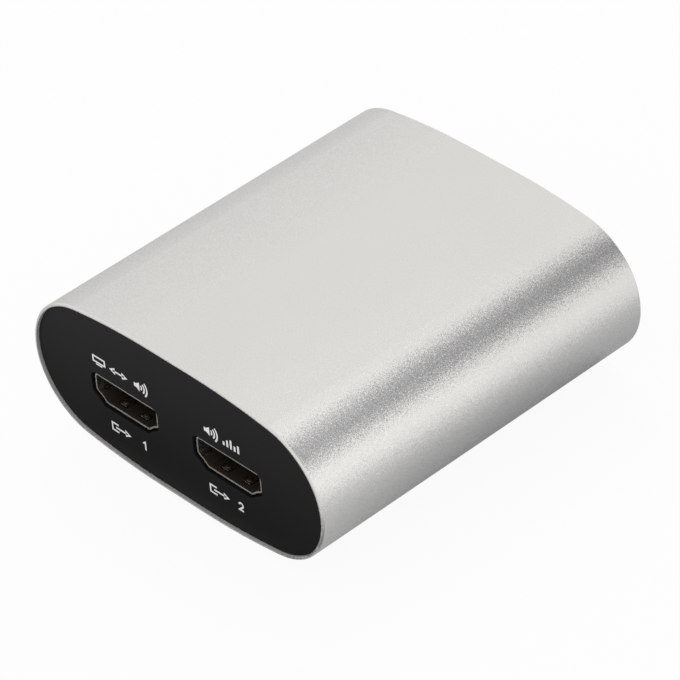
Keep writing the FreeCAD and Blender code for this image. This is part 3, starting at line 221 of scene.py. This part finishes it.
def surface(
    name, colour, shade, rough, grain, metallic=0.0, blotch=0.02, specular=0.5, transmission=0.0, edge=0.06,
):
    """A procedural finish. Colour drifts to shade in blotches, roughness runs between the two values
    of rough, grain holds the feature size and the depth in metres, and edge is the rounding in mm."""
    made, nodes = new_material(name)
    place = own_place(nodes)
    drift = spread(nodes, noise(nodes, place, blotch, 3.0), 0, 1)
    grain_size, grain_depth = grain
    fine = noise(nodes, place, grain_size, 1.5)
    shader = nodes.add(
        "ShaderNodeBsdfPrincipled",
        Base_Color=mixed(nodes, drift, colour, shade),
        Metallic=metallic,
        Roughness=spread(nodes, fine, *rough),
        Specular_IOR_Level=specular,
        Transmission_Weight=transmission,
        Normal=bumped(nodes, fine, grain_depth, rounded(nodes, edge * MM)),
    )
    shown_by(nodes, shader)
    return made


# Finishes, one for each slot of the record

FACET_SIZE = 0.15 * MM
FACET_TILT = 0.78
ANODISED = (0.800, 0.792, 0.772)
ANODISED_SHADE = (0.785, 0.778, 0.760)
ANODISED_INSIDE = (0.73, 0.725, 0.71)
ANODISED_BLOTCH = 18 * MM
ANODISED_ROUGHNESS = (0.22, 0.28)
ANODISED_EDGE = 0.06 * MM
INSIDE_ROUGHNESS = 0.75

NICKEL = (0.66, 0.63, 0.58)
NICKEL_SHADE = (0.56, 0.53, 0.49)
# Nearly black nickel for the faces deep in the mouth: painted shade of the recess, not the metal's own
# colour.
NICKEL_PAINTED_SHADE = (0.105, 0.082, 0.066)
NICKEL_BLOTCH = 4 * MM
NICKEL_GRAIN, NICKEL_GRAIN_DEPTH = 0.4 * MM, 0.004 * MM
NICKEL_ROUGHNESS = (0.24, 0.36)
NICKEL_EDGE = 0.08 * MM
MOUTH_ROUGHNESS = 0.6
MOUTH_EDGE = 0.15 * MM


def facing_in(nodes, place, level):
    """1 on faces that look at the plane of that height, as the inner faces of a sleeve do, else 0."""
    above = maths(nodes, "SUBTRACT", along_axis(nodes, place, "Z"), level)
    lean = along_axis(nodes, plain_normal(nodes), "Z")
    return maths(nodes, "LESS_THAN", maths(nodes, "MULTIPLY", above, lean), 0.0)


def sleeve_finish(name):
    """Bead-blasted aluminium under clear anodising: fine facets, each tilted a little its own way. The
    bore and the milled seats are duller."""
    made, nodes = new_material(name)
    place = own_place(nodes)
    inner = facing_in(nodes, place, MIDDLE)
    drift = spread(nodes, noise(nodes, place, ANODISED_BLOTCH), 0, 1)
    facets = nodes.add("ShaderNodeTexNoise", Vector=place, Scale=1 / FACET_SIZE, Detail=1.0, Roughness=0.6)
    tilt = nodes.add(
        "ShaderNodeVectorMath", {"operation": "MULTIPLY_ADD"},
        i0=facets.outputs["Color"], i1=(FACET_TILT,) * 3, i2=(-FACET_TILT / 2,) * 3,
    )
    soft = rounded(nodes, ANODISED_EDGE)
    tilted = nodes.add("ShaderNodeVectorMath", {"operation": "ADD"}, i0=soft, i1=tilt.outputs["Vector"])
    normal = nodes.add("ShaderNodeVectorMath", {"operation": "NORMALIZE"}, i0=tilted.outputs["Vector"])
    satin = spread(nodes, facets.outputs["Fac"], *ANODISED_ROUGHNESS)
    shader = nodes.add(
        "ShaderNodeBsdfPrincipled",
        Base_Color=mixed(nodes, inner, mixed(nodes, drift, ANODISED, ANODISED_SHADE), ANODISED_INSIDE),
        Metallic=1.0,
        Roughness=blended(nodes, inner, satin, INSIDE_ROUGHNESS),
        Normal=normal.outputs["Vector"],
    )
    shown_by(nodes, shader)
    return made


def socket_finish(name):
    """Nickel-plated sheet. The faces inside the mouth are rougher and get a much darker colour, painted shade
    of the recess.
    """
    made, nodes = new_material(name)
    place = own_place(nodes)
    inward = facing_in(nodes, place, centre("hdmi_in_shell").z)
    reach = maths(nodes, "ABSOLUTE", along_axis(nodes, place, "Y"))
    behind = maths(nodes, "LESS_THAN", reach, SOCKET_MOUTH - MOUTH_EDGE)
    # The faces deep in the mouth, which get the painted shade.
    inner = maths(nodes, "MULTIPLY", inward, behind)
    drift = spread(nodes, noise(nodes, place, NICKEL_BLOTCH, 3.0), 0, 1)
    fine = noise(nodes, place, NICKEL_GRAIN, 1.5)
    satin = spread(nodes, fine, *NICKEL_ROUGHNESS)
    shader = nodes.add(
        "ShaderNodeBsdfPrincipled",
        Base_Color=mixed(nodes, inner, mixed(nodes, drift, NICKEL, NICKEL_SHADE), NICKEL_PAINTED_SHADE),
        Metallic=1.0,
        Roughness=blended(nodes, inner, satin, MOUTH_ROUGHNESS),
        Normal=bumped(nodes, fine, NICKEL_GRAIN_DEPTH, rounded(nodes, NICKEL_EDGE)),
    )
    shown_by(nodes, shader)
    return made


def finishes():
    """The finish of every slot, by the slot's name."""
    plain = {
        "panel_black": dict(
            colour=(0.0062, 0.0058, 0.0066), shade=(0.0078, 0.0074, 0.0080), rough=(0.36, 0.46),
            grain=(0.2 * MM, 0.004 * MM), specular=0.11,
        ),
        "overlay_black": dict(
            colour=(0.0088, 0.0079, 0.0092), shade=(0.0100, 0.0091, 0.0104), rough=(0.36, 0.46),
            grain=(0.12 * MM, 0.003 * MM), specular=0.10,
        ),
        "screw_steel": dict(
            colour=(0.12, 0.12, 0.125), shade=(0.09, 0.09, 0.09), rough=(0.3, 0.42), metallic=1.0,
            grain=(0.15 * MM, 0.004 * MM),
        ),
        "foot_rubber": dict(
            colour=(0.018, 0.018, 0.018), shade=(0.026, 0.026, 0.025), rough=(0.75, 0.9),
            grain=(0.25 * MM, 0.02 * MM), specular=0.3, edge=0.25,
        ),
        "board_green": dict(
            colour=(0.012, 0.085, 0.035), shade=(0.010, 0.070, 0.030), rough=(0.3, 0.4),
            grain=(0.5 * MM, 0.006 * MM), blotch=0.006, edge=0.1,
        ),
        "insulator_black": dict(
            colour=(0.014, 0.013, 0.012), shade=(0.02, 0.018, 0.016), rough=(0.5, 0.65),
            grain=(0.15 * MM, 0.006 * MM), blotch=0.004,
        ),
        "contact_gold": dict(
            colour=(0.86, 0.60, 0.24), shade=(0.78, 0.52, 0.2), rough=(0.2, 0.3), metallic=1.0,
            grain=(0.2 * MM, 0.003 * MM), blotch=0.002,
        ),
        "jack_black": dict(
            colour=(0.016, 0.016, 0.017), shade=(0.022, 0.022, 0.022), rough=(0.28, 0.4),
            grain=(0.3 * MM, 0.006 * MM), blotch=0.006, edge=0.12,
        ),
        "terminal_tin": dict(
            colour=(0.70, 0.69, 0.66), shade=(0.6, 0.59, 0.56), rough=(0.25, 0.4), metallic=1.0,
            grain=(0.3 * MM, 0.005 * MM), blotch=0.003,
        ),
        "switch_steel": dict(
            colour=(0.62, 0.61, 0.58), shade=(0.54, 0.53, 0.5), rough=(0.22, 0.34), metallic=1.0,
            grain=(0.4 * MM, 0.004 * MM), blotch=0.004,
        ),
        "switch_black": dict(
            colour=(0.02, 0.02, 0.021), shade=(0.028, 0.028, 0.028), rough=(0.35, 0.5),
            grain=(0.15 * MM, 0.006 * MM), blotch=0.004, edge=0.12,
        ),
        "wiper_bronze": dict(
            colour=(0.72, 0.42, 0.22), shade=(0.6, 0.34, 0.18), rough=(0.25, 0.35), metallic=1.0,
            grain=(0.2 * MM, 0.003 * MM), blotch=0.002,
        ),
        "light_pipe_clear": dict(
            colour=(0.93, 0.95, 0.95), shade=(0.9, 0.93, 0.93), rough=(0.05, 0.12),
            grain=(0.8 * MM, 0.003 * MM), blotch=0.003, transmission=1.0,
        ),
        "led_white": dict(
            colour=(0.85, 0.85, 0.78), shade=(0.8, 0.78, 0.62), rough=(0.3, 0.4),
            grain=(0.3 * MM, 0.004 * MM), blotch=0.001,
        ),
        "chip_black": dict(
            colour=(0.022, 0.022, 0.024), shade=(0.032, 0.032, 0.033), rough=(0.45, 0.6),
            grain=(0.12 * MM, 0.006 * MM), blotch=0.004, edge=0.08,
        ),
        "thermal_grey": dict(
            colour=(0.42, 0.45, 0.50), shade=(0.38, 0.40, 0.45), rough=(0.7, 0.85),
            grain=(0.3 * MM, 0.012 * MM), blotch=0.003,
        ),
        "sink_black": dict(
            colour=(0.035, 0.035, 0.037), shade=(0.045, 0.045, 0.046), rough=(0.35, 0.5), metallic=0.6,
            grain=(0.2 * MM, 0.006 * MM), blotch=0.006, edge=0.1,
        ),
        "crystal_steel": dict(
            colour=(0.76, 0.75, 0.72), shade=(0.68, 0.67, 0.64), rough=(0.18, 0.28), metallic=1.0,
            grain=(0.4 * MM, 0.003 * MM), blotch=0.002,
        ),
        "ferrite_grey": dict(
            colour=(0.06, 0.06, 0.062), shade=(0.085, 0.085, 0.086), rough=(0.6, 0.75),
            grain=(0.2 * MM, 0.012 * MM), blotch=0.003, edge=0.15,
        ),
        "can_aluminium": dict(
            colour=(0.82, 0.82, 0.82), shade=(0.75, 0.75, 0.74), rough=(0.16, 0.26), metallic=1.0,
            grain=(0.5 * MM, 0.003 * MM), blotch=0.004,
        ),
        "ceramic_tan": dict(
            colour=(0.42, 0.28, 0.16), shade=(0.36, 0.23, 0.13), rough=(0.4, 0.55),
            grain=(0.15 * MM, 0.006 * MM), blotch=0.001,
        ),
        "resistor_black": dict(
            colour=(0.02, 0.02, 0.022), shade=(0.03, 0.03, 0.03), rough=(0.3, 0.45),
            grain=(0.15 * MM, 0.005 * MM), blotch=0.001,
        ),
    }
    made = {slot: surface(slot, **settings) for slot, settings in plain.items()}
    made["sleeve_aluminium"] = sleeve_finish("sleeve_aluminium")
    made["socket_nickel"] = socket_finish("socket_nickel")
    return made


FINISH = finishes()
PRINT_WHITE = surface(
    "print_white", colour=(0.90, 0.90, 0.90), shade=(0.86, 0.86, 0.86), rough=(0.45, 0.55),
    grain=(0.1 * MM, 0.003 * MM), blotch=0.002,
)


def dress_frame():
    """Gives every CAD node its slot's finish."""
    for entry in frame["record"]["subparts"]:
        thing = frame["nodes"][entry["node"]]
        thing.data.materials.clear()
        thing.data.materials.append(FINISH[entry["material_slot"]])


# Printed marks: flat shapes drawn in millimetres, x to the right and z up, as seen on the panel

PRINT_PROUD = 0.015 * MM
WELD = 1e-7
STROKE = 0.32
RING_STROKE = 0.24
RING_RADIUS = 0.62
MARK_HEIGHT = 1.75
ARC_STEPS = 14
SHARPEST_MITRE = 0.35


def arc_points(x, z, radius, start, end, steps=ARC_STEPS):
    angles = [math.radians(start + (end - start) * step / steps) for step in range(steps + 1)]
    return [(x + radius * math.cos(angle), z + radius * math.sin(angle)) for angle in angles]


def circle_points(x, z, radius, count):
    return arc_points(x, z, radius, 0, 360 - 360 / count, count - 1)


def line_quads(points, width=STROKE, closed=False):
    """Quads along a line of points, mitred at its corners."""
    spots = [Vector(point) for point in points]
    count = len(spots)
    sides = []
    for index, spot in enumerate(spots):
        before = spots[index - 1] if closed or index else None
        after = spots[(index + 1) % count] if closed or index < count - 1 else None
        coming = (spot - before).normalized() if before is not None else (after - spot).normalized()
        going = (after - spot).normalized() if after is not None else coming
        along = (coming + going).normalized()
        normal = Vector((-along.y, along.x))
        reach = width / 2 / max(SHARPEST_MITRE, along.dot(going))
        sides.append((spot + normal * reach, spot - normal * reach))
    pairs = range(count if closed else count - 1)
    return [
        [sides[index][1], sides[(index + 1) % count][1], sides[(index + 1) % count][0], sides[index][0]]
        for index in pairs
    ]


def bar(left, low, width, height):
    return [(left, low), (left + width, low), (left + width, low + height), (left, low + height)]


def arrow(left, z, length, two_way=False):
    """An arrow to the right, or one with a head at both ends."""
    head = 1.35
    tail = 0.6 * head
    right = left + length
    start = left + (tail if two_way else 0)
    faces = line_quads([(start, z), (right - tail, z)])
    faces.append([(right - head, z - head / 2), (right, z), (right - head, z + head / 2)])
    if two_way:
        faces.append([(left, z), (left + head, z - head / 2), (left + head, z + head / 2)])
    return faces


def screen(left, z):
    """A television on its foot."""
    inset = STROKE / 2
    width, foot_width, foot_height, lift = 3.0, 1.5, 0.28, 0.55
    foot = z - MARK_HEIGHT / 2
    low, high = foot + lift, z + MARK_HEIGHT / 2 - inset
    near, far = left + inset, left + width - inset
    faces = line_quads([(near, low), (far, low), (far, high), (near, high)], closed=True)
    faces.append(bar(left + (width - foot_width) / 2, foot, foot_width, foot_height))
    return faces


def loudspeaker(left, z):
    """A loudspeaker with three sound waves to its right."""
    box_width, cone_width, low, high = 0.5, 0.75, 0.36, MARK_HEIGHT / 2
    first_wave, wave_pitch, half_angle = 0.6, 0.62, 44
    back = left + box_width
    mouth = back + cone_width
    faces = [
        bar(left, z - low, box_width, 2 * low),
        [(back, z - low), (mouth, z - high), (mouth, z + high), (back, z + low)],
    ]
    for index in range(3):
        radius = first_wave + wave_pitch * index
        faces += line_quads(arc_points(mouth - 0.1, z, radius, -half_angle, half_angle))
    return faces


def bars(left, z, heights):
    """Sound bars of the given heights on one foot line."""
    pitch, width, foot = 0.82, 0.42, z - MARK_HEIGHT / 2
    return [bar(left + pitch * index, foot, width, height) for index, height in enumerate(heights)]


def way_through(left, z, inwards=False):
    """An open frame with an arrow that leaves it to the right, or enters it from the left."""
    reach, depth, gap, size = 4.4, 1.5, 0.8, MARK_HEIGHT - STROKE
    low, high = z - size / 2, z + size / 2
    side = left + (reach if inwards else 0)
    lip = side + (-depth if inwards else depth)
    faces = line_quads([(lip, low), (side, low), (side, high), (lip, high)])
    return faces + arrow(left + (0 if inwards else gap), z, reach - gap)


def numeral(left, z, digit, height=MARK_HEIGHT):
    """The numeral 1, 2 or 3."""
    inset = STROKE / 2
    low, high = z - height / 2 + inset, z + height / 2 - inset
    radius = 0.31 * (high - low)
    if digit == 1:
        flag_width, flag_drop = 0.5, 0.38
        stem = left + flag_width
        return line_quads([(left, high - flag_drop), (stem, high), (stem, low - inset)])
    if digit == 2:
        bowl = arc_points(left + radius, high - radius, radius, 170, -35)
        return line_quads(bowl + [(left + 0.05, low), (left + 2 * radius + 0.08, low)])
    bowl = arc_points(left + 0.9 * radius, low + radius, radius, 90, -150)
    return line_quads([(left, high), (left + 1.75 * radius, high)] + bowl)


def direct_current(left, z):
    """A line over three dashes."""
    width, dash, gap = 3.0, 0.7, 0.45
    upper, lower = z + 0.15, z - 0.55
    dashes = [bar(left + (dash + gap) * index, lower, dash, STROKE) for index in range(3)]
    return [bar(left, upper, width, STROKE)] + dashes


def power_sign(x, z):
    """An open ring with a stroke in its gap."""
    half_gap = 35
    ring = line_quads(arc_points(x, z, RING_RADIUS, 90 + half_gap, 450 - half_gap), RING_STROKE)
    return ring + [bar(x - RING_STROKE / 2, z + 0.05, RING_STROKE, RING_RADIUS + 0.1)]


def ring_sign(x, z):
    """A ring round a dot."""
    dot_radius = 0.22
    ring = line_quads(circle_points(x, z, RING_RADIUS, 16), RING_STROKE, closed=True)
    return ring + [circle_points(x, z, dot_radius, 12)]


def printed(name, faces, face_y, towards):
    """A printed mark of flat faces on a panel. towards is -1 on the front panel and 1 on the rear."""
    mesh = bmesh.new()
    for outline in faces:
        mesh.faces.new([
            mesh.verts.new((-towards * x * MM, face_y + towards * PRINT_PROUD, z * MM + MIDDLE))
            for x, z in outline
        ])
    bmesh.ops.remove_doubles(mesh, verts=mesh.verts, dist=WELD)
    data = bpy.data.meshes.new(name)
    mesh.to_mesh(data)
    mesh.free()
    made = linked(name, data)
    data.materials.append(PRINT_WHITE)
    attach(made, BODY)


def make_front_marks():
    """What each output is for, over its socket, and its number, under it."""
    above, above_second, below = 3.8, 3.6, -8.1
    use_1 = screen(-19.3, above) + arrow(-15.4, above, 4.3, two_way=True) + loudspeaker(-9.6, above)
    use_2 = loudspeaker(6.4, above_second) + bars(10.6, above_second, (0.7, 1.3, 1.75, 1.0, 1.5))
    printed("mark_output_1_use", use_1, FRONT_FACE, -1)
    printed("mark_output_1", way_through(-16.15, below) + numeral(-8.9, below, 1), FRONT_FACE, -1)
    printed("mark_output_2_use", use_2, FRONT_FACE, -1)
    printed("mark_output_2", way_through(6.6, below) + numeral(13.1, below, 2), FRONT_FACE, -1)


def make_rear_marks():
    """Marks over what the rear panel carries, at the places that the frame gives."""
    over_switch, over_socket, over_jack = 1.9, 3.8, 7.3
    light_radius, numeral_height, numeral_pitch = 0.8, 1.45, 2.4
    socket = -centre("hdmi_in_shell").x / MM
    jack = -centre("power_socket_body").x / MM
    switch = -centre("mode_switch_frame").x / MM
    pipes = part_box("light_pipes")
    power = -pipes[0].x / MM - light_radius
    signal = -pipes[1].x / MM + light_radius
    modes = []
    for index in range(3):
        place = switch - 0.3 + numeral_pitch * (index - 1)
        modes += numeral(place, over_switch, index + 1, numeral_height)
    lights = power_sign(power, over_switch) + ring_sign(signal, over_switch)
    printed("mark_input", way_through(socket - 2.2, over_socket, inwards=True), REAR_FACE, 1)
    printed("mark_power", direct_current(jack - 1.5, over_jack), REAR_FACE, 1)
    printed("mark_modes", modes, REAR_FACE, 1)
    printed("mark_lights", lights, REAR_FACE, 1)


# Studio

# The floor. Reflections show it with painted shade: dark under the object and paler farther off, less so on
# the left.
FLOOR_SIZE = 6.0
FLOOR_COLOUR = (0.82, 0.82, 0.82)
FLOOR_REFLECTED_SHADE_COLOUR = (0.40, 0.405, 0.42)
FLOOR_SEEN_GLOW = 0.93
FLOOR_SHADE_PLACE = (0, 23 * MM, 0)
FLOOR_SHADE_REACH = (25 * MM, 130 * MM)
FLOOR_SHADE_GLOW = (0.14, 0.80)
FLOOR_LEFT_REACH = (-120 * MM, -20 * MM)
FLOOR_LEFT_SHADE = (0.62, 1.0)

# The card on the floor before the front panel, dark near it: a painted shadow that only reflections show
CARD_NEAR = FRONT_FACE - 2 * MM
CARD_FAR = FRONT_FACE - 130 * MM
CARD_PALE_FROM = FRONT_FACE - 26 * MM
CARD_HALF_WIDTH = 120 * MM
CARD_LIFT = 0.4 * MM
CARD_PAINTED_SHADOW = (0.20, 0.20, 0.20)
CARD_PALE = (0.85, 0.85, 0.85)

# The diffuser over the right side
HOOD_RADIUS = 200 * MM
HOOD_FRONT, HOOD_REAR = -20 * MM, 150 * MM
HOOD_FADE_FROM = 40 * MM
HOOD_ANGLE = 100
HOOD_STEPS = 24
HOOD_GLOW = 0.27

# The sky, and its patches from the first laid to the last: aim, reach in degrees and colour
SKY = (0.88, 0.88, 0.875)
CEILING_GAP = ((0.487, 0.57, 0.698), 31, (0.20, 0.202, 0.220))
LEFT_WALL = ((-0.86, 0.50, 0.08), 28, (0.70, 0.70, 0.70))
RIGHT_WALL = ((0.83, 0.48, 0.14), 30, (0.89, 0.89, 0.88))

KEY_PLACE = Vector((-0.9, 0.5, 1.3))
KEY_SIZE = 0.9
KEY_POWER = 6.0


def rectangle(name, low, high, level):
    """A flat four-sided object at that level, from one corner to the other."""
    mesh = bpy.data.meshes.new(name)
    corners = [(low[0], low[1]), (high[0], low[1]), (high[0], high[1]), (low[0], high[1])]
    mesh.from_pydata([(x, y, level) for x, y in corners], [], [(0, 1, 2, 3)])
    return linked(name, mesh)


def make_floor():
    """A pale floor, seen white, that keeps a soft shadow of the object; reflections show it with painted
    shade. From below it is clear.
    """
    half = FLOOR_SIZE / 2
    floor = rectangle("floor", (-half, -half), (half, half), 0)

    made, nodes = new_material("floor_white")
    rays = nodes.add("ShaderNodeLightPath").outputs
    mirrored = maths(nodes, "MAXIMUM", rays["Is Glossy Ray"], rays["Is Transmission Ray"])
    seen = maths(nodes, "MULTIPLY", rays["Is Camera Ray"], FLOOR_SEEN_GLOW)
    place = own_place(nodes)
    away = nodes.add("ShaderNodeVectorMath", {"operation": "DISTANCE"}, i0=place, i1=FLOOR_SHADE_PLACE)
    # In reflections the floor's glow fades near the object and on the left, and its colour is darker: painted
    # shade.
    shade = ramp(nodes, away.outputs["Value"], FLOOR_SHADE_REACH, FLOOR_SHADE_GLOW, "SMOOTHSTEP")
    left = ramp(nodes, along_axis(nodes, place, "X"), FLOOR_LEFT_REACH, FLOOR_LEFT_SHADE)
    share = maths(nodes, "MULTIPLY_ADD", mirrored, maths(nodes, "MULTIPLY", shade, left), seen)
    colour = mixed(nodes, mirrored, FLOOR_COLOUR, FLOOR_REFLECTED_SHADE_COLOUR)
    matte = nodes.add("ShaderNodeBsdfDiffuse", Color=colour)
    glow = nodes.add("ShaderNodeEmission", Color=WHITE, Strength=1.0)
    from_above = nodes.add("ShaderNodeMixShader", i0=share, i1=matte.outputs[0], i2=glow.outputs[0])
    below = nodes.add("ShaderNodeNewGeometry").outputs["Backfacing"]
    clear = nodes.add("ShaderNodeBsdfTransparent")
    shown_by(nodes, nodes.add("ShaderNodeMixShader", i0=below, i1=from_above.outputs[0], i2=clear.outputs[0]))
    floor.data.materials.append(made)


def make_front_card():
    """A card on the floor before the panel, which only reflections show: dark near it as a painted shadow of
    the object, pale farther off.
    """
    card = rectangle("front_shadow_card", (-CARD_HALF_WIDTH, CARD_FAR), (CARD_HALF_WIDTH, CARD_NEAR), CARD_LIFT)
    card.visible_camera = False
    card.visible_diffuse = False
    card.visible_shadow = False

    made, nodes = new_material("front_shadow_card")
    # Dark near the panel: painted shadow.
    share = ramp(nodes, along_axis(nodes, own_place(nodes), "Y"), (CARD_NEAR, CARD_PALE_FROM))
    shown_by(nodes, nodes.add("ShaderNodeBsdfDiffuse", Color=mixed(nodes, share, CARD_PAINTED_SHADOW, CARD_PALE)))
    card.data.materials.append(made)


def make_hood():
    """A faint curved diffuser over the right side, which only reflections show: brightest at its front."""
    angles = [math.radians(HOOD_ANGLE * step / HOOD_STEPS) for step in range(HOOD_STEPS + 1)]
    points = [
        (HOOD_RADIUS * math.cos(angle), y, MIDDLE + HOOD_RADIUS * math.sin(angle))
        for y in (HOOD_FRONT, HOOD_REAR)
        for angle in angles
    ]
    count = len(angles)
    faces = [(step, step + 1, count + step + 1, count + step) for step in range(HOOD_STEPS)]
    mesh = bpy.data.meshes.new("hood")
    mesh.from_pydata(points, [], faces)
    hood = linked("hood", mesh)
    hood.visible_camera = False
    hood.visible_diffuse = False
    hood.visible_transmission = False
    hood.visible_shadow = False

    made, nodes = new_material("hood_glow")
    along = along_axis(nodes, own_place(nodes), "Y")
    glow = ramp(nodes, along, (HOOD_FADE_FROM, HOOD_REAR), (HOOD_GLOW, 0.0), "SMOOTHSTEP")
    light = nodes.add("ShaderNodeEmission", Color=WHITE, Strength=glow)
    clear = nodes.add("ShaderNodeBsdfTransparent")
    shown_by(nodes, nodes.add("ShaderNodeAddShader", i0=light.outputs[0], i1=clear.outputs[0]))
    mesh.materials.append(made)


def patch(nodes, direction, aim, reach):
    """A soft round patch of the sky: 1 at its aim and 0 at reach degrees from it."""
    aim = Vector(aim).normalized()
    near = nodes.add("ShaderNodeVectorMath", {"operation": "DOT_PRODUCT"}, i0=direction, i1=aim)
    return ramp(nodes, near.outputs["Value"], (math.cos(math.radians(reach)), 1.0), shape="SMOOTHSTEP")


def make_world():
    """White where it is seen. It lights the object as a soft studio does, with a dark gap in its ceiling."""
    world = bpy.data.worlds.new("studio")
    bpy.context.scene.world = world
    world.use_nodes = True
    nodes = Nodes(world.node_tree)
    direction = nodes.add("ShaderNodeTexCoord").outputs["Generated"]
    seen = nodes.add("ShaderNodeLightPath").outputs["Is Camera Ray"]
    sky = SKY
    for aim, reach, colour in (CEILING_GAP, LEFT_WALL, RIGHT_WALL):
        sky = mixed(nodes, patch(nodes, direction, aim, reach), sky, colour)
    shader = nodes.add("ShaderNodeBackground", Color=mixed(nodes, seen, sky, WHITE[:3]), Strength=1.0)
    nodes.add("ShaderNodeOutputWorld", Surface=shader.outputs[0])


def make_key_lamp():
    data = bpy.data.lights.new("key", "AREA")
    data.shape = "SQUARE"
    data.size = KEY_SIZE
    data.energy = KEY_POWER
    lamp = linked("key", data)
    lamp.location = KEY_PLACE
    lamp.rotation_mode = "QUATERNION"
    lamp.rotation_quaternion = (-KEY_PLACE).to_track_quat("-Z", "Y")
    lamp.visible_glossy = False


def make_studio():
    make_floor()
    make_front_card()
    make_hood()
    make_world()
    make_key_lamp()
    bpy.context.scene.view_settings.view_transform = "Standard"


make_camera()
dress_frame()
make_front_marks()
make_rear_marks()
make_studio()
